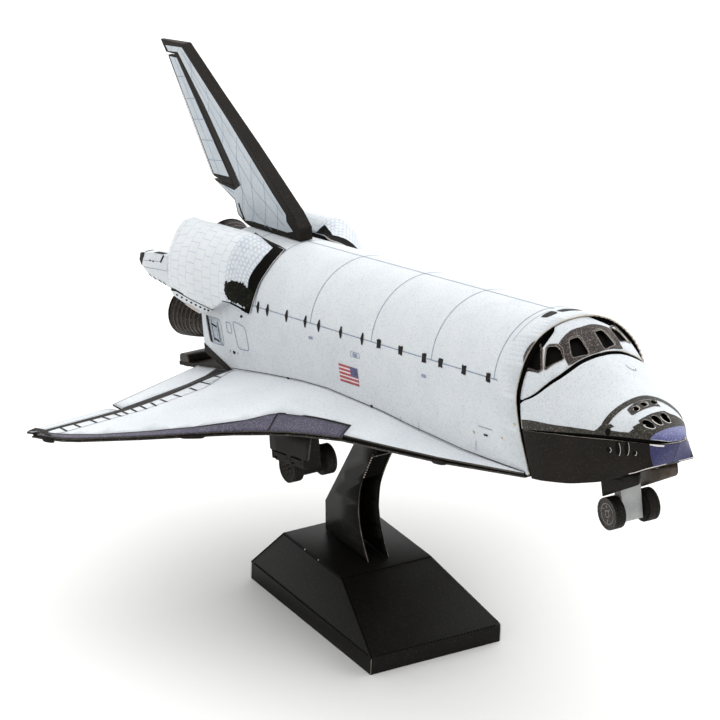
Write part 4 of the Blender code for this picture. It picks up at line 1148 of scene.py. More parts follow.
def makeWingEdges():
    # cut edges of the lower skin, a strip of painted shade above it and the black tip piece
    edge, shade, tip = newShape(), newShape(), newShape()
    path = [(s, x) for s, x in lowerEdge] + [(94.3, 40.5)]
    addGrid(edge, [[place(s, x + 0.005, wingFloor(x) + z) for z in (0.0, 0.245)]
                   for s, x in path], out=1)
    inner = [(s + 0.1, x - 0.22) for s, x in path]
    addGrid(shade, [[place(s, x, wingFloor(x) + z) for z in (0.26, 0.6)]
                    for s, x in inner], out=1)
    addGrid(shade, [[place(s, x, wingFloor(x) + 0.26) for x in (outer - 0.01, outer - 2.5)]
                    for s, outer in path], out=-1)
    # black tip sheet, its outer corner bent over, and the small tabs bent round the edge
    rows = [[place(s, x, z) for s, x, z in row] for row in (
        ((93.2, 38.6, -0.62), (94.6, 38.7, -0.62), (96.3, 38.9, -0.7)),
        ((91.2, 39.45, -0.66), (93.4, 39.7, -0.7), (96.2, 40.0, -0.85)),
        ((89.6, 39.2, -0.95), (92.6, 40.1, -1.05), (95.9, 40.45, -1.0)))]
    addGrid(tip, rows)
    reach = straightCurve(lowerEdge)
    for s, long, high in ((37.4, 1.25, 0.35), (75.35, 1.2, 0.35), (91.3, 1.0, 0.5)):
        x, rings = reach(s) - 0.12, []
        for k in range(9):
            share = 2 * k / 8 - 1
            size = high * math.sqrt(max(0.0, 1 - share ** 4)) + 0.02
            sa = s + long * share
            rings.append([place(sa, reach(sa) - 0.25 + dx, wingFloor(x) + 0.13 + dz * size)
                          for dx, dz in ((0.0, -1.0), (0.36, -0.8), (0.42, 0.0), (0.36, 0.6),
                                         (0.0, 0.7))])
        addGrid(tip, rings, around=True)
        addFaces(tip, rings[0], [(0, 1, 2, 3, 4)])
        addFaces(tip, rings[-1], [(4, 3, 2, 1, 0)])
    for shape in (edge, shade, tip):
        addBothSides(shape)
    makePiece("wing_tips_and_tabs", tip, [blackPrint], sharp=25)
    makePiece("lower_skin_cut_edge", edge, [darkEdge])
    makePiece("wing_edge_shadow_strip", shade, [darkCutAndShade])


makeWingSheets()
makeWingPrints()
makeElevonSheets()
makeWingEdges()
print("wings made")


# Fin and rudder
finFront = ((18.68, 88.3, 0.95), (20.4, 88.2, 0.95), (22.3, 90.0, 0.93), (30.3, 100.4, 0.8),
            (36.0, 108.3, 0.72), (42.5, 116.9, 0.62))
finRear = ((18.68, 103.0, 0.45), (19.0, 104.3, 0.42), (19.9, 106.1, 0.38), (21.8, 106.75, 0.32),
           (24.05, 112.3, 0.26), (42.4, 124.1, 0.26))
frontS, frontHalf = straightCurve(finFront), straightCurve(finFront, 2)
rearS, rearHalf = straightCurve(finRear), straightCurve(finRear, 2)


def finAt(s, z):
    share = min(max((s - frontS(z)) / (rearS(z) - frontS(z)), 0.0), 1.0)
    return place(s, frontHalf(z) + (rearHalf(z) - frontHalf(z)) * share, z)


finSkin = {"at": finAt, "out": -1}


def addSlab(shape, surface, outline, step, rimSlot=1):
    # starboard face, its mirror and the rim between them
    addArea(shape, surface, outline, step=step)
    count = len(shape["points"])
    edges = {(a, b): True for face in shape["faces"] for a, b in zip(face, face[1:] + face[:1])}
    addBothSides(shape)
    rim = [(b, a, a + count, b + count) for a, b in edges if (b, a) not in edges]
    shape["faces"] += rim
    shape["slots"] += [rimSlot] * len(rim)


def makeFin():
    outline = [(88.3, 18.68), (88.2, 20.4), (90.0, 22.3), (100.4, 30.3), (108.3, 36.0),
               (116.9, 42.5), (124.1, 42.4), (122.8, 40.7), (118.7, 40.7), (106.2, 23.7),
               (112.3, 24.05), (106.75, 21.8), (106.1, 19.9), (104.3, 19.0), (103.0, 18.68)]
    slab = newShape()
    addSlab(slab, finSkin, outline[::-1], (2.0, 2.0))
    makePiece("fin_folded_sheet", slab, [blackPrint, blackPrint],
              instead=("fin",), merge=True, sharp=25)
    outline = [(106.45, 23.85), (118.75, 40.62), (120.6, 40.6), (120.8, 40.4), (122.2, 40.4),
               (112.3, 24.5), (109.4, 24.0)]
    slab = newShape()
    addSlab(slab, finSkin, outline, (2.0, 2.0))
    makePiece("rudder_folded_sheet", slab, [blackPrint, blackPrint],
              instead=("rudder",), merge=True, sharp=25)


def makeFinPrints():
    white = newShape()
    outline = [(91.9, 19.4), (90.2, 19.75), (91.8, 20.9), (91.8, 21.85), (95.0, 24.3),
               (106.0, 33.2), (117.5, 41.9), (122.7, 41.65), (122.05, 40.9), (119.0, 41.1),
               (112.7, 34.5), (104.2, 24.25), (106.4, 23.2), (110.6, 23.6), (111.8, 23.9),
               (106.55, 21.95), (105.9, 20.05), (104.1, 19.3), (102.0, 19.5)]
    addArea(white, finSkin, outline, 0.02, step=(2.0, 2.0))
    outline = [(107.5, 24.95), (119.55, 40.2), (121.85, 40.2), (112.1, 24.85)]
    addArea(white, finSkin, outline, 0.02, step=(2.0, 2.0))
    addBothSides(white)
    makePiece("fin_white_print", white, [finPrint])

    # irregular blanket lines: two long ones with the sweep, short ones across
    lines = newShape()
    for path in (((92.5, 21.6), (99.8, 26.6), (106.9, 32.4), (113.4, 37.5), (117.8, 41.4)),
                 ((92.6, 20.2), (100.2, 24.0), (105.6, 28.6), (110.2, 33.3), (115.4, 38.2)),
                 ((96.4, 19.1), (102.6, 21.6), (105.4, 25.6)),
                 ((94.6, 19.2), (94.0, 22.9)), ((98.3, 19.2), (97.4, 22.4), (97.3, 25.6)),
                 ((102.0, 19.3), (101.1, 21.2), (101.0, 24.8), (100.4, 28.2)),
                 ((104.6, 20.3), (103.9, 23.6), (104.6, 27.9), (103.8, 31.0)),
                 ((108.4, 29.6), (107.7, 31.3), (107.8, 34.0)),
                 ((111.6, 33.4), (111.1, 35.0), (111.5, 37.0)),
                 ((115.6, 37.7), (115.2, 39.0), (115.4, 40.1)),
                 ((118.9, 41.2), (118.6, 41.8)), ((121.0, 41.0), (120.9, 41.75)),
                 ((109.0, 27.0), (113.3, 26.6)), ((110.9, 29.6), (114.9, 29.2)),
                 ((113.1, 32.3), (116.6, 31.9)), ((115.3, 35.0), (118.4, 34.6)),
                 ((117.6, 37.8), (120.2, 37.5)),
                 ((110.4, 25.0), (114.9, 32.0), (120.3, 40.1)),
                 ((106.6, 22.8), (109.3, 23.4))):
        addLine(lines, finSkin, path, 0.1, 0.035)
    addBothSides(lines)
    makePiece("fin_blanket_lines", lines, [engravedLine])

    # dark pierced dashes along the fold of the leading edge
    fold = newShape()
    path = ((89.4, 21.35), (90.2, 22.25), (100.6, 30.2), (108.5, 35.9), (117.1, 42.35))
    for (sa, za), (sb, zb) in zip(path, path[1:]):
        count = max(1, round(math.dist((sa, za), (sb, zb)) / 0.62))
        for k in range(count):
            ends = [(sa + (sb - sa) * share, za + (zb - za) * share)
                    for share in ((k + 0.1) / count, (k + 0.66) / count)]
            addLine(fold, finSkin, ends, 0.2, 0.03)
    addBothSides(fold)
    makePiece("fin_fold_dashes", fold, [darkCutAndShade])
    edges = newShape()
    addLine(edges, finSkin, [(112.5, 24.6), (117.2, 32.0), (122.1, 40.25)], 0.16, 0.03)
    addLine(edges, finSkin, [(105.6, 21.5), (105.0, 20.4), (104.2, 19.4)], 0.42, 0.03)
    addBothSides(edges)
    makePiece("fin_dark_edges", edges, [darkCutAndShade])


makeFin()
makeFinPrints()
print("fin made")


# Pods, their thruster boxes and the vent strips
podFront = ((9.29, 10.22, 89.02), (9.02, 11.82, 88.39), (8.61, 13.06, 88.07), (8.1, 14.1, 87.94),
            (7.47, 15.07, 87.76), (6.68, 16.00, 87.59), (5.79, 16.82, 87.62), (4.85, 17.47, 87.74),
            (3.55, 18.14, 88.22))
podMiddle = ((10.7, 10.5), (10.85, 12.5), (10.6, 15.00), (9.9, 17.2), (8.6, 19.00),
             (7.3, 19.95), (6.00, 20.15), (4.9, 19.6), (3.9, 18.3))
podRear = ((10.2, 10.6), (10.5, 12.8), (10.4, 14.6), (10.00, 16.2), (9.2, 17.7),
           (8.3, 19.00), (7.00, 20.00), (5.8, 20.1), (4.6, 19.4))
pod = {"front": 85.6, "middle": 92.0, "long": 103.0, "rear": 109.0, "wall": 0.22, "inset": 0.35,
       "depth": 0.12}
podArc = [0.0]
for a, b in zip(podMiddle, podMiddle[1:]):
    podArc.append(podArc[-1] + math.dist(a, b))
podWide = podArc[-1]
podSections = []
for s, rows in ((pod["front"], podFront),
                ((pod["front"] + pod["middle"]) / 2,
                 [((a[0] + b[0]) / 2 + 0.1, (a[1] + b[1]) / 2 + 0.15, (a[2] + pod["middle"]) / 2)
                  for a, b in zip(podFront, podMiddle)]),
                (pod["middle"], [(x, z, pod["middle"]) for x, z in podMiddle]),
                (pod["long"], [(x, z, pod["long"]) for x, z in podMiddle]),
                (pod["rear"], [(x, z, pod["rear"]) for x, z in podRear])):
    podSections.append((s, [smoothCurve([(arc, row[k]) for arc, row in zip(podArc, rows)])
                            for k in range(3)]))


def podAt(u, v):
    # u runs aft, v climbs in millimetres from the lower edge over the crest
    u = min(max(u, pod["front"]), pod["rear"])
    for (ua, a), (ub, b) in zip(podSections, podSections[1:]):
        if u <= ub:
            share = (u - ua) / (ub - ua)
            x, z, s = (a[k](v) + (b[k](v) - a[k](v)) * share for k in range(3))
            return place(s, x + min(v, 0.0) * 0.15, z + min(v, 0.0))


podSkin = {"at": podAt, "out": -1}
# lower edge of the pod's sheet: it steps down where the vent strip begins
podLow = ((85.6, 0.0), (88.0, 0.38), (91.3, 1.07), (93.4, 0.95), (96.9, -0.66), (103.5, 0.0),
          (107.3, 0.35), (109.0, 0.45))
podLowAt = straightCurve(podLow)


podTiles = {"large": (1.45, 2.3, 0.07), "fine": (0.7, 0.7, 0.12), "fineEnds": (92.4, 92.9),
            "seamColour": "9BA8BD", "seamShare": (0.25, 0.75), "waver": 0.2}


def tiledPrint(name):
    # white blankets: fine brickwork at the pod's front, large tiles behind, soft grey-blue seams
    material = printedSheet(name, podWhite)
    tree = material.node_tree
    shader = tree.nodes["Principled BSDF"]
    plain = shader.inputs["Base Color"].links[0].from_socket
    uv = addNode(tree, "ShaderNodeUVMap", {"uv_map": "UVMap"}).outputs["UV"]
    parts = addNode(tree, "ShaderNodeSeparateXYZ", links={0: uv})
    wobble = addNode(tree, "ShaderNodeTexNoise", values={"Scale": 1.1, "Detail": 1.0},
                     links={"Vector": uv})
    shifted = addNode(tree, "ShaderNodeMath", {"operation": 'MULTIPLY_ADD'},
                      {1: podTiles["waver"]}, {0: wobble.outputs["Fac"], 2: parts.outputs["X"]})
    across = addNode(tree, "ShaderNodeCombineXYZ", links={
        "X": parts.outputs["Y"], "Y": shifted.outputs[0]})
    shares = []
    for width, row, mortar in (podTiles["large"], podTiles["fine"]):
        bricks = addNode(tree, "ShaderNodeTexBrick", {"offset": 0.5, "squash": 1.0}, {
            "Color1": (0, 0, 0, 1), "Color2": (0, 0, 0, 1), "Mortar": (1, 1, 1, 1),
            "Scale": 1.0, "Mortar Size": mortar, "Mortar Smooth": 0.35, "Bias": 0.0,
            "Brick Width": width, "Row Height": row}, {"Vector": across.outputs[0]})
        shares.append(bricks.outputs["Fac"])
    zone = addNode(tree, "ShaderNodeMapRange", values={
        "From Min": podTiles["fineEnds"][0], "From Max": podTiles["fineEnds"][1]},
        links={"Value": parts.outputs["X"]})
    seams = addNode(tree, "ShaderNodeMix", {"data_type": 'FLOAT'}, links={
        0: zone.outputs["Result"], 2: shares[1], 3: shares[0]})
    weight = addNode(tree, "ShaderNodeMapRange", values={
        "From Min": 0.3, "From Max": 0.7, "To Min": podTiles["seamShare"][0],
        "To Max": podTiles["seamShare"][1]},
        links={"Value": wobble.outputs["Fac"]})
    share = addNode(tree, "ShaderNodeMath", {"operation": 'MULTIPLY'}, links={
        0: seams.outputs[0], 1: weight.outputs["Result"]})
    mixed = addNode(tree, "ShaderNodeMix", {"data_type": 'RGBA'},
                    {7: linear(podTiles["seamColour"])}, {0: share.outputs[0], 6: plain})
    tree.links.new(mixed.outputs[2], shader.inputs["Base Color"])
    return material


def makePodSheets():
    tiles = tiledPrint("white quilted blanket print")
    outline = list(podLow) + [(pod["rear"], podWide), (pod["front"], podWide)]
    skin = newShape()
    addArea(skin, podSkin, outline, step=(0.8, 0.5))
    for side, shape in bothSides(skin):
        makePiece("pod_sheet_" + side, shape, [tiles, bareInside, palePrintEdgeAndGlint],
                  instead=("oms_pod_" + side,), merge=True,
                  wall=pod["wall"])


def makePodPlates():
    # closing plates between the pod's edges and the body; the near-black ones under the top and
    # front edges are painted shade in the gap
    depth, fore, aft = pod["depth"], pod["front"] + pod["inset"], pod["rear"] - 0.1
    closing, fillers, rearPlate = newShape(), newShape(), newShape()

    def bodyNear(point, s):
        x, z = -point.x, point.z
        if z <= body["sideTop"]:
            return place(s, body["half"] - 0.05, z)
        away = math.hypot(x, z - body["sideTop"])
        reach = (body["half"] + body["rise"]) / 2 - 0.05
        return place(s, x * reach / away, body["sideTop"] + (z - body["sideTop"]) * reach / away)
    rowsLow, rowsTop = [], []
    for i in range(49):
        u = fore + (aft - fore) * i / 48
        low = onSurface(podSkin, u, podLowAt(u) + 0.04, -depth)[0]
        top = onSurface(podSkin, u, podWide - 0.04, -depth)[0]
        rowsLow.append([low, bodyNear(low, low.y)])
        rowsTop.append([top, bodyNear(top, top.y)])
    addGrid(fillers, rowsLow, out=1)
    addGrid(closing, rowsTop, out=-1)
    rim = [onSurface(podSkin, fore, podWide * k / 24, -depth)[0] for k in range(25)]
    addGrid(closing, [[p, bodyNear(p, p.y)] for p in rim], out=-1)
    inner = [[bodyNear(p, s) for s in (pod["front"] + 3, aft)] for p in rim]
    addGrid(closing, inner, out=1)
    rim = [onSurface(podSkin, pod["rear"] - depth, podWide * k / 24, -depth)[0]
           for k in range(25)]
    addGrid(rearPlate, [[p, bodyNear(p, p.y)] for p in rim], out=1)
    addBothSides(closing)
    addBothSides(fillers)
    addBothSides(rearPlate)
    makePiece("pod_lower_fillers", fillers, [whitePrint])
    makePiece("pod_closing_plates", closing, [darkCutAndShade], outward=False)
    makePiece("pod_rear_plates", rearPlate, [whitePrint])


def makePodPrints():
    # black band inside the front edge, widening into painted shade where the top edge dives under
    # the fin
    dark, soot = newShape(), newShape()
    addArea(dark, podSkin, [(85.62, 0.05), (87.0, 0.05), (87.3, 5.0), (87.5, 6.2), (87.4, 8.5),
                            (87.3, 10.4), (87.4, 12.1), (87.9, 13.6), (91.4, 13.2),
                            (92.6, podWide - 0.1), (85.62, podWide - 0.1)], 0.02, step=(0.4, 0.6))
    # painted shadow lines under the lower edge, wider towards the front
    path = [(93.6, 1.1), (91.3, 1.14), (88.0, 0.5), (85.7, 0.16)]
    for k, width in enumerate((0.14, 0.28, 0.42)):
        addLine(dark, podSkin, path[k:k + 2], width, 0.035)
    blob = ragged([(92.66, 3.41), (92.14, 3.89), (90.89, 4.41), (89.19, 4.83), (88.09, 5.0),
                   (87.42, 4.68), (86.64, 4.72), (85.88, 4.2), (85.88, 0.8), (87.2, 0.75),
                   (88.7, 0.98), (90.59, 1.3), (91.73, 1.62), (92.31, 2.24)], 0.2, 7)
    addArea(soot, podSkin, blob, 0.03, step=(0.6, 0.6))
    addBothSides(dark)
    addBothSides(soot)
    makePiece("pod_dark_print", dark, [darkCutAndShade])
    makePiece("pod_soot_print", soot, [sootPrint])


def makeVents():
    # vent strip under each pod's rear half, its slots, painted shade along its top under the pod's
    # edge, and a painted highlight on its lower edge
    strip, vents, edge = newShape(), newShape(), newShape()

    def stripPlace(s, z):
        return place(s, 10.62 - 0.07 * max(0.0, s - 103.0) + (z - 10.5) * 0.15, z)
    ventSkin = {"at": stripPlace, "out": -1}
    addArea(strip, ventSkin, [(96.9, 9.95), (97.3, 9.55), (100.8, 8.65), (108.7, 9.9),
                              (109.05, 10.7), (107.3, 11.0)], step=(3, 3))
    addBothSides(strip)
    makePiece("vent_strip_sheets", strip, [whitePrint, bareInside, bareEdgeAndGlint],
              wall=0.2)
    for s, z in ((107.34, 10.22), (105.8, 10.12), (104.35, 9.98), (102.95, 9.85),
                 (101.7, 9.72), (100.5, 9.6), (99.3, 9.5), (98.3, 9.48)):
        addArea(vents, ventSkin, around(ventSkin, s, z, oval(0.36, 0.15, -8, 10)), 0.03)
    # dark line along the top of the strip: painted shade under the pod's edge
    addLine(vents, ventSkin, [(109.0, 10.72), (107.3, 10.86), (96.95, 9.83)], 0.3, 0.04)
    addBothSides(vents)
    makePiece("vent_slots", vents, [darkCutAndShade])
    # pale line on the lower edge: painted highlight
    addLine(edge, ventSkin, [(105.0, 9.35), (100.95, 8.72)], 0.26, 0.05)
    addBothSides(edge)
    makePiece("vent_strip_bright_edges", edge, [bareEdgeAndGlint])


thruster = {"fore": 109.02, "aft": 117.85, "innerX": 8.7, "lowX": 10.15, "foldX": 10.6,
            "spread": 0.45, "slant": 0.25, "bendS": 116.0, "bend": 0.3}


def makeThrusterBoxes():
    # a box behind each pod, its outer side folded along the middle
    profile = ((109.02, 10.75, 13.45, 15.5), (111.5, 11.15, 13.3, 15.4), (114.5, 11.6, 13.1, 15.2),
               (116.3, 12.35, 13.0, 14.95), (117.85, 13.3, 13.6, 14.55))
    lowLine, midLine, topLine = (smoothCurve([(row[0], row[k]) for row in profile])
                                 for k in (1, 2, 3))

    def boxSide(s, share):
        # share runs from 0 at the lower edge over 1 at the fold to 2 at the upper edge
        low, mid, top = lowLine(s), midLine(s), topLine(s)
        tuck = thruster["bend"] * max(0.0, s - thruster["bendS"])
        if share < 1:
            return place(s, thruster["lowX"] + thruster["spread"] * share - tuck,
                         low + (mid - low) * share)
        return place(s, thruster["foldX"] - thruster["slant"] * (share - 1) - tuck,
                     mid + (top - mid) * (share - 1))

    def boxTop(s, x):
        return place(s, x - thruster["bend"] * max(0.0, s - thruster["bendS"]), topLine(s))
    sideSkin, topSkin = {"at": boxSide, "out": -1}, {"at": boxTop, "out": 1}
    for side, sign in (("starboard", 1), ("port", -1)):
        box = newShape()
        rings = []
        for i in range(52):
            s = thruster["fore"] + (thruster["aft"] - thruster["fore"]) * min(1.0, i / 50)
            ring = [place(s, thruster["innerX"], lowLine(s))]
            ring += [boxSide(s, share) for share in (0, 1, 2)]
            ring.append(place(s, thruster["innerX"], topLine(s)))
            rings.append([Vector((p.x * sign, p.y, p.z)) for p in ring])
        addGrid(box, rings[:-1], out=-sign, around=True)
        addFaces(box, rings[0], [(0, 1, 2, 3, 4)[::sign]])
        addFaces(box, rings[-1], [(4, 3, 2, 1, 0)[::sign]], 1)
        makePiece("thruster_box_" + side, box, [whitePrint, darkCutAndShade],
                  instead=("rcs_stinger_" + side,), merge=True, outward=True, bevel=0.1)
    mouths = newShape()
    addArea(mouths, sideSkin, [(117.84, 0.05), (117.84, 1.98), (115.5, 1.98), (115.8, 1.7),
                               (116.5, 1.2), (116.9, 0.7), (117.0, 0.05)], 0.07, step=(0.2, 0.2))
    addArea(mouths, topSkin, [(115.45, 8.8), (115.45, 10.2), (117.8, 9.7), (117.8, 8.8)],
            0.05, step=(0.3, 0.5))
    addArea(mouths, topSkin, [(110.3, 9.5), (110.3, 10.33), (113.1, 10.33), (112.9, 9.5)], 0.03)
    addLine(mouths, sideSkin, [(109.95, 1.96), (110.9, 1.45)], 0.34, 0.03, step=0.3)
    for s, share in ((113.9, 1.47), (113.0, 1.44)):
        addArea(mouths, sideSkin, around(sideSkin, s, share, oval(0.24, 0.12, 0, 10)), 0.03)
    for s in (114.9, 113.6, 112.1, 110.9):
        addLine(mouths, sideSkin, [(s + 0.3, 0.16), (s - 0.35, 0.05)], 0.2, 0.03)
    addBothSides(mouths)
    makePiece("thruster_mouths", mouths, [darkCutAndShade])
    seams = newShape()
    addLine(seams, sideSkin, [(110.9, 1.5), (115.6, 1.42)], 0.07, 0.02)
    addLine(seams, sideSkin, [(109.1, 0.97), (116.4, 0.97)], 0.09, 0.02)
    addBothSides(seams)
    makePiece("thruster_box_seams", seams, [engravedLine])


makePodSheets()
makePodPlates()
makePodPrints()
makeVents()
makeThrusterBoxes()
print("pods made")


# Engine bells
bells = {"throat": 1.3, "exit": 3.8, "length": 7.5, "hoops": 10, "hoopRise": 0.13, "rear": 102.1,
         "podThroat": 0.5, "podExit": 1.5, "podLength": 2.8, "podHoops": 4,
         "flare": 0.62, "wall": 0.25, "facets": 48}


def makeBell(name, node, throat, exitRadius, length, hoops, neck, tilt, cant, where):
    # bell with raised hoops, open at its mouth, on a round neck
    outer = [(throat * 1.5, -neck), (throat * 1.5, -0.3 * throat)]
    count = hoops * 6
    for i in range(count + 1):
        t = i / count
        radius = throat + (exitRadius - bells["hoopRise"] - throat) * t ** bells["flare"]
        wave = 0.5 - 0.5 * math.cos(2 * math.pi * t * hoops)
        outer.append((radius + bells["hoopRise"] * wave ** 2 * min(1.0, 0.4 + t), length * t))
    outer.append((exitRadius, length))
    outer[-2] = (exitRadius - 0.03, length * 0.985)
    inner = [(max(r - bells["wall"], bells["wall"]), y) for r, y in
             ((throat + (exitRadius - throat) * (i / 12) ** bells["flare"], length * i / 12)
              for i in range(12, 0, -1))]
    inner.append((bells["wall"], 0.12))
    turn = (Matrix.Translation(place(*where)) @ Matrix.Rotation(math.radians(cant), 4, 'Z')
            @ Matrix.Rotation(math.radians(tilt), 4, 'X'))
    steps = bells["facets"]
    rows = []
    for r, y in outer + inner:
        rows.append([turn @ Vector((r * math.cos(2 * math.pi * k / steps), y,
                                    r * math.sin(2 * math.pi * k / steps)))
                     for k in range(steps)])
    bell = newShape()
    addGrid(bell, rows[:len(outer)], around=True)
    # inside of the bell and its throat disc in near-black: painted shade
    addGrid(bell, rows[len(outer) - 1:], slot=1, around=True)
    addFaces(bell, rows[0], [tuple(range(steps))])
    addFaces(bell, rows[-1], [tuple(range(steps))], slot=1)
    makePiece(name, bell, [bellPrint, darkCutAndShade], instead=(node,),
              merge=True, outward=True, sharp=40)


def makeBells():
    size = (bells["throat"], bells["exit"], bells["length"], bells["hoops"])
    makeBell("top_bell", "engine_nozzle_top", *size, 1.0, 14.0, 0.0,
             (bells["rear"] + 1.6, 0.0, 13.1))
    small = (bells["podThroat"], bells["podExit"], bells["podLength"], bells["podHoops"])
    for side, sign in (("starboard", 1.0), ("port", -1.0)):
        makeBell(side + "_bell", "engine_nozzle_" + side, *size, 4.4, 8.0, 3.0 * sign,
                 (bells["rear"] + 4.9, 4.2 * sign, 5.0))
        makeBell(side + "_pod_bell", "oms_nozzle_" + side, *small, 0.3, 10.0, 4.0 * sign,
                 (107.8, 6.9 * sign, 16.0))


makeBells()
print("bells made")


# Small parts repeated along a path, by Geometry Nodes
def stepsTree(name, material, withBead):
    # a small block or bead at even steps along an edge path, turned with the path
    tree = bpy.data.node_groups.new(name, 'GeometryNodeTree')
    tree.interface.new_socket("Geometry", in_out='INPUT', socket_type='NodeSocketGeometry')
    for label, kind in (("Spacing", 'NodeSocketFloat'), ("Block Size", 'NodeSocketVector'),
                        ("Bead Radius", 'NodeSocketFloat')):
        tree.interface.new_socket(label, in_out='INPUT', socket_type=kind)
    tree.interface.new_socket("Geometry", in_out='OUTPUT', socket_type='NodeSocketGeometry')
    start = addNode(tree, "NodeGroupInput").outputs
    curve = addNode(tree, "GeometryNodeMeshToCurve", links={"Mesh": start["Geometry"]})
    even = addNode(tree, "GeometryNodeResampleCurve", {"mode": 'LENGTH'}, links={
        "Curve": curve.outputs["Curve"], "Length": start["Spacing"]})
    if withBead:
        unit = addNode(tree, "GeometryNodeMeshIcoSphere", values={"Subdivisions": 2},
                       links={"Radius": start["Bead Radius"]})
    else:
        unit = addNode(tree, "GeometryNodeMeshCube", links={"Size": start["Block Size"]})
    tangent = addNode(tree, "GeometryNodeInputTangent")
    turn = addNode(tree, "FunctionNodeAlignRotationToVector", {"axis": 'X'},
                   links={"Vector": tangent.outputs["Tangent"]})
    spots = addNode(tree, "GeometryNodeInstanceOnPoints", links={
        "Points": even.outputs["Curve"], "Instance": unit.outputs["Mesh"],
        "Rotation": turn.outputs["Rotation"]})
    real = addNode(tree, "GeometryNodeRealizeInstances", links={
        "Geometry": spots.outputs["Instances"]})
    painted = addNode(tree, "GeometryNodeSetMaterial", values={"Material": material},
                      links={"Geometry": real.outputs["Geometry"]})
    addNode(tree, "NodeGroupOutput", links={"Geometry": painted.outputs["Geometry"]})
    return tree


def makeSteps(name, paths, material, spacing, block=(0.0, 0.0, 0.0), bead=0.0, body="model",
              frameOf=None, closed=False):
    # paths in millimetres; the result is one plain mesh
    matrix = frameOf or onArm
    points, edges = [], []
    for path in paths:
        first = len(points)
        points += [(matrix @ Vector(p)) * 0.001 for p in path]
        edges += [(i, i + 1) for i in range(first, len(points) - 1)]
        if closed:
            edges.append((len(points) - 1, first))
    guide = bpy.data.meshes.new(name + "_path")
    guide.from_pydata(points, edges, [])
    carrier = bpy.data.objects.new(name + "_path", guide)
    bpy.context.scene.collection.objects.link(carrier)
    modifier = carrier.modifiers.new("Steps", 'NODES')
    modifier.node_group = stepsTree(name, material, bead > 0)
    values = {"Spacing": spacing * 0.001, "Block Size": [b * 0.001 for b in block],
              "Bead Radius": bead * 0.001}
    for item in modifier.node_group.interface.items_tree:
        if item.in_out == 'INPUT' and item.name in values:
            modifier[item.identifier] = values[item.name]
    ready = carrier.evaluated_get(bpy.context.evaluated_depsgraph_get())
    mesh = bpy.data.meshes.new_from_object(ready)
    mesh.name = name
    bpy.data.objects.remove(carrier, do_unlink=True)
    piece = bpy.data.objects.new(name, mesh)
    bpy.context.scene.collection.objects.link(piece)
    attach(piece, body)
    return piece


# Wheels, struts and gear doors
gear = {"radius": 2.05, "disc": 1.82, "innerX": 1.65, "outerX": 3.25, "axle": 0.35,
        "facets": 22, "spokes": 8, "nose": (14.45, 0.0, -4.25), "main": (73.2, 11.2, -7.05),
        "noseDoorX": 2.7, "mainDoorX": 16.7, "recess": 0.06, "ringDepth": 0.045,
        "rings": ((1.3, 0.08), (0.42, 0.1)), "spokeRing": 0.82, "spokeDepth": 0.055,
        "spoke": (0.13, 0.03, 0.62), "bracketX": 14.85, "frameHalf": 0.3}


def makeWheels(name, node, axle, bodyName):
    # two wheels of rolled strip with engraved discs, on one axle
    steps = gear["facets"]
    radius, disc = gear["radius"], gear["disc"]
    inX, outX = gear["innerX"], gear["outerX"]
    faceX, ringX = outX - gear["recess"], outX - gear["ringDepth"]
    s, x, z = axle
    wheels, slits, rings = newShape(), newShape(), newShape()
    face, line = (wheelPrint, frameLine) if bodyName == "nose_wheels" else (blackPrint, darkCutAndShade)

    def ring(r, offset):
        return [place(s + r * math.cos(2 * math.pi * k / steps), x + offset,
                      z + r * math.sin(2 * math.pi * k / steps)) for k in range(steps)]
    for sign in (1, -1):
        profile = [(gear["axle"], 0.0), (gear["axle"], inX), (disc, inX), (disc, inX + 0.12),
                   (radius - 0.02, inX + 0.12), (radius, inX + 0.2), (radius, outX - 0.42),
                   (radius - 0.1, outX - 0.36), (radius - 0.1, outX - 0.26), (radius, outX - 0.24),
                   (radius, outX)]
        rows = [ring(r, sign * o) for r, o in profile]
        addGrid(wheels, rows, around=True)
        addGrid(wheels, [rows[-1], ring(disc, sign * outX), ring(disc, sign * faceX),
                         ring(disc - 0.35, sign * faceX), ring(0.02, sign * faceX)],
                slot=1, around=True)
        addGrid(slits, [ring(radius + 0.012, sign * (outX - 0.3)),
                        ring(radius + 0.012, sign * (outX - 0.24))], around=True)
        for r, width in gear["rings"]:
            addGrid(rings, [ring(r - width / 2, sign * ringX), ring(r + width / 2, sign * ringX)],
                    out=sign, around=True)
    makePiece(name + "_rims", wheels, [blackPrint, face], body=bodyName,
              instead=(node,), merge=True, outward=True, sharp=28)
    makePiece(name + "_rim_seams", slits, [speckledPrint], body=bodyName,
              merge=True, outward=True)
    for label, sign in (("outer", 1), ("inner", -1)):
        circle = []
        for k in range(48):
            angle = 2 * math.pi * k / 48
            circle.append(place(s + gear["spokeRing"] * math.cos(angle),
                                x + sign * (outX - gear["spokeDepth"]),
                                z + gear["spokeRing"] * math.sin(angle)))
        makeSteps(name + "_spokes_" + label, [circle], line,
                  2 * math.pi * gear["spokeRing"] / gear["spokes"], block=gear["spoke"],
                  body=bodyName, closed=True)
    makePiece(name + "_engraved_rings", rings, [line], body=bodyName, outward=True)


def makeDoor(name, node, x, corners, sign, material, inside):
    # one flat sheet with its lower corners rounded
    outline = []
    count = len(corners)
    for i, corner in enumerate(corners):
        here = Vector(corner[:2])
        if not corner[2]:
            outline.append(tuple(here))
            continue
        before, after = Vector(corners[i - 1][:2]), Vector(corners[(i + 1) % count][:2])
        start = here + (before - here).normalized() * corner[2]
        end = here + (after - here).normalized() * corner[2]
        for k in range(6):
            t = k / 5
            outline.append(tuple((1 - t) ** 2 * start + 2 * t * (1 - t) * here + t ** 2 * end))

    def doorAt(s, z):
        return place(s, sign * (x + model["sheet"] / 2), z)
    skin = {"at": doorAt, "out": -sign}
    sheet = newShape()
    addArea(sheet, skin, outline, step=(2.0, 2.0))
    makePiece(name, sheet, [material, inside, darkEdge], instead=(node,),
              merge=True, wall=model["sheet"])


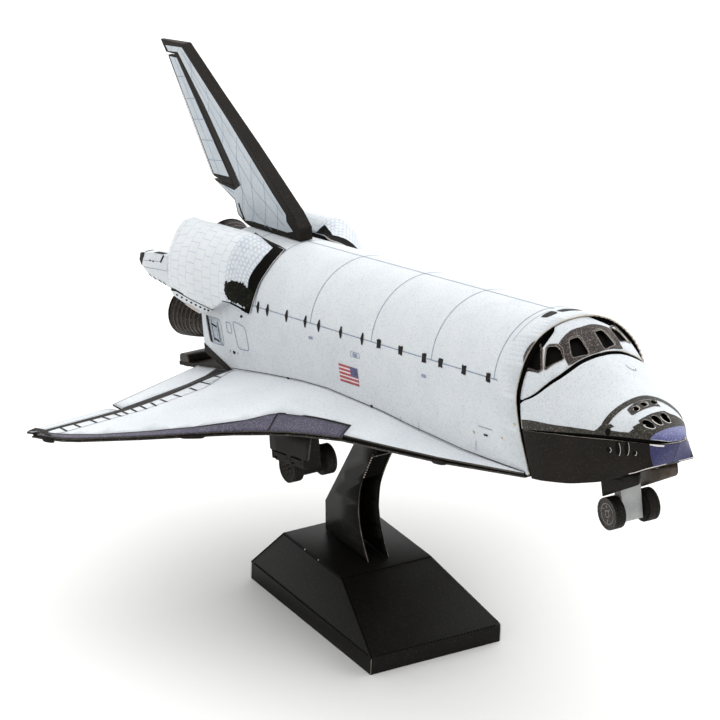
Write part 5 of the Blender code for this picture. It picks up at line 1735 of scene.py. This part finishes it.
def makeBracketFrames(side, sign):
    # bent frames standing on the bracket behind the door
    frames = newShape()
    x, half = gear["bracketX"], gear["frameHalf"]
    for low, high in ((67.4, 70.6), (71.2, 75.1)):
        for (sa, za), (sb, zb) in (((low, -2.2), (low, -5.9)), ((high, -2.2), (high, -5.9)),
                                   ((low, -3.3), (high, -3.3)), ((low, -5.2), (high, -5.2))):
            corners = ((sa, za - half), (sb, za - half), (sb, zb + half), (sa, za + half))
            if sa == sb:
                corners = ((sa - half, za), (sa + half, za), (sb + half, zb), (sb - half, zb))
            ring = [[place(a, sign * (x + d), b) for a, b in corners] for d in (0.02, 0.42)]
            addGrid(frames, ring, around=True)
            addFaces(frames, ring[1], [(0, 1, 2, 3)])
            addFaces(frames, ring[0], [(3, 2, 1, 0)])
    makePiece("main_bracket_frames_" + side, frames, [blackPrint],
              merge=True, outward=True, bevel=0.06)


def makeGear():
    makeWheels("nose_wheel", "nose_wheels", gear["nose"], "nose_wheels")
    for side, sign in (("starboard", 1), ("port", -1)):
        s, x, z = gear["main"]
        makeWheels("main_wheel_" + side, "main_wheels_" + side, (s, x * sign, z),
                   "main_wheels_" + side)
        roof = [(s, noseBellies(s) - 0.1, 0.0) for s in (15.9, 12.0, 9.0, 7.4)]
        corners = [(7.3, 0.75, 0.8), (15.8, -2.4, 0.15)] + roof
        makeDoor("nose_door_sheet_" + side, "nose_gear_door_" + side, gear["noseDoorX"], corners,
                 sign, blackPrint, doorInside)
        top = wingFloor(gear["mainDoorX"] + 0.25) - 0.08
        corners = [(61.9, top, 0.0), (72.7, top, 0.0), (72.9, -3.9, 0.3), (63.2, -3.8, 0.3)]
        makeDoor("main_door_sheet_" + side, "main_gear_door_" + side, gear["mainDoorX"], corners,
                 sign, blackPrint, blackPrint)
        makeBracketFrames(side, sign)
        dress({"main_strut_" + side: blackPrint, "main_gear_bracket_" + side: blackPrint})
    # the cockpit bulkhead in near-black: painted shade seen through the windows
    dress({"nose_strut": greySheet, "cockpit_bulkhead": darkCutAndShade, "aft_bulkhead": aftPrint,
           "belly_and_lower_wings": bellyPrint, "body_flap": blackPrint})


# the body flap ends in a rolled edge, thicker than its sheet
flapEdge = {"aft": 112.3, "height": -0.33, "long": 1.35, "tall": 0.88, "half": 7.55,
            "square": 0.6, "steps": 24}


def makeFlapEdge():
    ring = []
    for k in range(flapEdge["steps"]):
        angle = 2 * math.pi * (k + 0.5) / flapEdge["steps"]
        ring.append([math.copysign(abs(f) ** flapEdge["square"], f)
                     for f in (math.cos(angle), math.sin(angle))])
    bar = newShape()
    rows = [[place(flapEdge["aft"] + flapEdge["long"] * a, x, flapEdge["height"]
                   + flapEdge["tall"] * b) for a, b in ring]
            for x in (-flapEdge["half"], flapEdge["half"])]
    addGrid(bar, rows, around=True)
    for row, sides in ((rows[0], range(flapEdge["steps"])),
                       (rows[1], reversed(range(flapEdge["steps"])))):
        addFaces(bar, row, [tuple(sides)])
    makePiece("body_flap_rolled_edge", bar, [flapPrint], merge=True, outward=True, bevel=0.12)


makeGear()
makeFlapEdge()
print("gear made")


# Stand: folded base and arm
stand = {"front": 54.4, "rear": 85.65, "half": 10.1, "rim": 2.61, "topFront": 67.6,
         "topRear": 82.4, "topHalf": 6.94, "top": 7.74, "armHalf": 1.65, "holeStep": 0.52,
         "glints": (73.3, 76.8), "dots": (23.2, 21.4, 19.6)}
armFront = ((69.4, 7.82), (70.9, 10.2), (71.9, 12.4), (72.35, 14.6), (72.2, 17.0), (71.5, 19.3),
            (69.6, 23.2), (67.6, 27.2))
armRear = ((80.4, 7.82), (80.7, 12.1), (74.2, 23.0))


def bellyHeight(y):
    return (model["bellyHeight"] - math.tan(math.radians(model["pitch"])) * y
            - 0.08 / math.cos(math.radians(model["pitch"])))


def spot(x, y, z):
    return Vector((x, y, z))


def makeBase():
    front, rear, half = stand["front"], stand["rear"], stand["half"]
    rings = []
    for inset in (0.0, model["sheet"]):
        rings.append([[spot(x, y, z) for x, y in (
            (-h + inset, f + inset), (h - inset, f + inset), (h - inset, r - inset),
            (-h + inset, r - inset))] for f, r, h, z in (
                (front, rear, half, 0.0), (front, rear, half, stand["rim"]),
                (stand["topFront"], stand["topRear"], stand["topHalf"],
                 stand["top"] - inset))])
    outer, inner = rings
    base = newShape()
    addGrid(base, outer, around=True)
    addFaces(base, outer[-1], [(0, 1, 2, 3)])
    addGrid(base, inner, around=True, out=-1)
    addFaces(base, inner[-1], [(3, 2, 1, 0)])
    addGrid(base, [outer[0], inner[0]], slot=1, around=True, out=-1)
    makePiece("stand_base_sheet", base, [satinBlack, bareEdgeAndGlint],
              instead=("stand_base",), frameOf=onStand, merge=True, bevel=0.14, outward=True,
              sharp=60)

    # open folds: dark lines between the plates, painted shade in the folds, and pale sheared edges
    # at the rim corners
    folds, pale = newShape(), newShape()
    rim, top = outer[1], outer[2]
    middle = sum((p for p in rim + top), Vector()) / 8

    def addStrip(shape, a, b, width, side):
        along = (b - a).normalized()
        out = ((a + b) / 2 - middle).normalized()
        across = (side - side.dot(along) * along).normalized()
        lift = out * 0.05
        addFaces(shape, [a + lift, b + lift, b + lift + across * width, a + lift + across * width],
                 [(0, 1, 2, 3)])
    for i in range(4):
        j = (i + 1) % 4
        addStrip(folds, top[i] + (rim[i] - top[i]) * 0.02, top[j] + (rim[j] - top[j]) * 0.02,
                 0.2, (rim[i] + rim[j] - top[i] - top[j]) / 2)
        addStrip(folds, rim[i], top[i], 0.22, rim[j] - rim[i])
        addStrip(pale, rim[i] + Vector((0, 0, -0.15)), rim[i] + Vector((0, 0, -2.4)), 0.07,
                 rim[j] - rim[i])
    makePiece("base_fold_lines", folds, [darkCutAndShade], frameOf=onStand,
              outward=False)
    makePiece("base_corner_edges", pale, [bareEdgeAndGlint], frameOf=onStand)

    z = stand["rim"] + 0.02
    sides = []
    for x in (-half - 0.01, half + 0.01):
        sides.append([spot(x, front + 1.0, z), spot(x, rear - 1.0, z)])
    for y in (front - 0.01, rear + 0.01):
        sides.append([spot(-half + 1.0, y, z), spot(half - 1.0, y, z)])
    makeSteps("base_perforations", sides, darkCutAndShade, stand["holeStep"], bead=0.13,
              frameOf=onStand)
    glints = [[spot(-stand["topHalf"] - 0.05, y, stand["top"] - 0.1),
               spot(-stand["topHalf"] - 0.05, y + 0.02, stand["top"] - 0.1)]
              for y in stand["glints"]]
    makeSteps("base_glints", glints, bareEdgeAndGlint, 1.0, bead=0.12,
              frameOf=onStand)


def makeArm():
    half, sheet = stand["armHalf"], model["sheet"]
    rows = list(armFront) + [(65.9, bellyHeight(65.9))]
    heights = smoothCurve([(z, y) for y, z in rows])
    front = [(heights(rows[0][1] + (rows[-1][1] - rows[0][1]) * i / 40),
              rows[0][1] + (rows[-1][1] - rows[0][1]) * i / 40) for i in range(41)]
    back = list(armRear) + [(69.6, bellyHeight(69.6))]
    outline = front + back[::-1]
    for side, sign in (("starboard", 1), ("port", -1)):
        cheek = newShape()

        def cheekAt(y, z):
            return spot(-sign * half, y, z)
        skin = {"at": cheekAt, "out": -sign}
        addArea(cheek, skin, outline, step=(6.0, 4.0))
        makePiece("arm_cheek_sheet_" + side, cheek, [satinBlack, satinBlack, armInside],
                  instead=("stand_arm_cheek_" + side,), frameOf=onStand,
                  merge=True, wall=sheet)
    edge = newShape()
    # pale worn front edges, also painted highlights, wider on the starboard side
    for sign, wide, rowCount in ((1, 0.06, 27), (-1, 0.03, 12)):    # worn front edges
        x = -sign * (half - 0.06)
        addGrid(edge, [[spot(x - wide, y - 0.02, z), spot(x + wide, y - 0.02, z)]
                       for y, z in front[:rowCount]])
    makePiece("arm_worn_edges", edge, [wornLitEdge], frameOf=onStand)

    # light dots where the web is perforated along its fold: painted glints on the holes' edges
    dots = [[spot(sign * (half - 0.12), heights(z) - 0.05, z) for z in stand["dots"]]
            for sign in (-1, 1)]
    makeSteps("arm_perforations", dots, bareEdgeAndGlint, 0.5, bead=0.12,
              frameOf=onStand)
    # thin pale lip along the top of the web: painted highlight
    lip = newShape()
    for a, b in ((spot(-half + 0.2, 69.55, 23.25), spot(half - 0.2, 69.55, 23.25)),
                 (spot(-half + 0.2, 69.5, 23.3), spot(-half + 0.2, 70.9, 23.9))):
        addFaces(lip, [a, b, b + Vector((0, 0, 0.12)), a + Vector((0, 0, 0.12))], [(0, 1, 2, 3)])
    makePiece("arm_web_lip", lip, [wornLitEdge], frameOf=onStand)
    dress({"stand_bottom_plate": satinBlack, "stand_arm_spine": armInside,
           "stand_arm_web": armInside})


makeBase()
makeArm()
print("stand made")


# Floor, light and camera
studio = {"floor": "F4F4F3", "reach": 2, "roughness": 0.85, "tent": "FFFFFF", "dim": 0.15,
          "bright": 2.0, "towards": (0.62, 0.48, 0.62), "key": 1.5, "softbox": 1.8,
          "keyAt": (0.55, 0.45, 1.0), "keyAim": (0, 0, 0.04)}
# the photograph's camera, in metres and in pixels of its square frame
view = {"right": (0.85458071, -0.51838058, 0.03119898),
        "down": (-0.1917457, -0.37079483, -0.908705),
        "ahead": (0.48262345, 0.7705795, -0.41627136),
        "place": (-0.2950375, -0.3949482, 0.2888999), "focal": 4616.42, "frame": 720,
        "centre": (358.506, 360.134), "sensor": 36, "near": 0.01}


def makeStudio():
    floorShape = bpy.data.meshes.new("floor")
    reach = studio["reach"]
    floorShape.from_pydata([(-reach, -reach, 0), (reach, -reach, 0), (reach, reach, 0),
                            (-reach, reach, 0)], [], [(0, 1, 2, 3)])
    floor = bpy.data.objects.new("floor", floorShape)
    bpy.context.scene.collection.objects.link(floor)
    card = bpy.data.materials.new("plain pale card")
    card.use_nodes = True
    shader = card.node_tree.nodes["Principled BSDF"]
    shader.inputs["Base Color"].default_value = linear(studio["floor"])
    shader.inputs["Roughness"].default_value = studio["roughness"]
    floorShape.materials.append(card)

    # a pale tent, brightest high up behind the port side and dimmer towards the camera
    world = bpy.data.worlds.new("pale studio")
    bpy.context.scene.world = world
    world.use_nodes = True
    tree = world.node_tree
    where = addNode(tree, "ShaderNodeTexCoord").outputs["Generated"]
    facing = addNode(tree, "ShaderNodeVectorMath", {"operation": 'DOT_PRODUCT'},
                     {1: studio["towards"]}, {0: where})
    glow = addNode(tree, "ShaderNodeMapRange", values={
        "From Min": -1.0, "From Max": 1.0, "To Min": studio["dim"], "To Max": studio["bright"]},
        links={"Value": facing.outputs["Value"]})
    tree.nodes["Background"].inputs["Color"].default_value = linear(studio["tent"])
    tree.links.new(glow.outputs["Result"], tree.nodes["Background"].inputs["Strength"])

    light = bpy.data.lights.new("softbox", 'AREA')
    light.size = studio["softbox"]
    light.energy = studio["key"]
    lamp = bpy.data.objects.new("softbox", light)
    bpy.context.scene.collection.objects.link(lamp)
    lamp.location = studio["keyAt"]
    aim = Vector(studio["keyAim"]) - lamp.location
    lamp.rotation_euler = aim.to_track_quat('-Z', 'Y').to_euler()


def makeCamera():
    lens = bpy.data.cameras.new("camera")
    camera = bpy.data.objects.new("camera", lens)
    bpy.context.scene.collection.objects.link(camera)
    right, down, ahead = (Vector(view[axis]) for axis in ("right", "down", "ahead"))
    stance = Matrix((right, -down, -ahead)).transposed().to_4x4()
    x, y, z = view["place"]
    stance.translation = Vector((x, y + shiftY * 0.001, z))
    camera.matrix_world = stance
    lens.lens = view["focal"] * view["sensor"] / view["frame"]
    lens.sensor_width = view["sensor"]
    lens.shift_x = (view["frame"] / 2 - view["centre"][0]) / view["frame"]
    lens.shift_y = (view["centre"][1] - view["frame"] / 2) / view["frame"]
    lens.clip_start = view["near"]
    bpy.context.scene.camera = camera
    # a bright product photograph has full whites and deep blacks
    bpy.context.scene.view_settings.view_transform = 'Standard'


makeStudio()
makeCamera()
print("studio made")
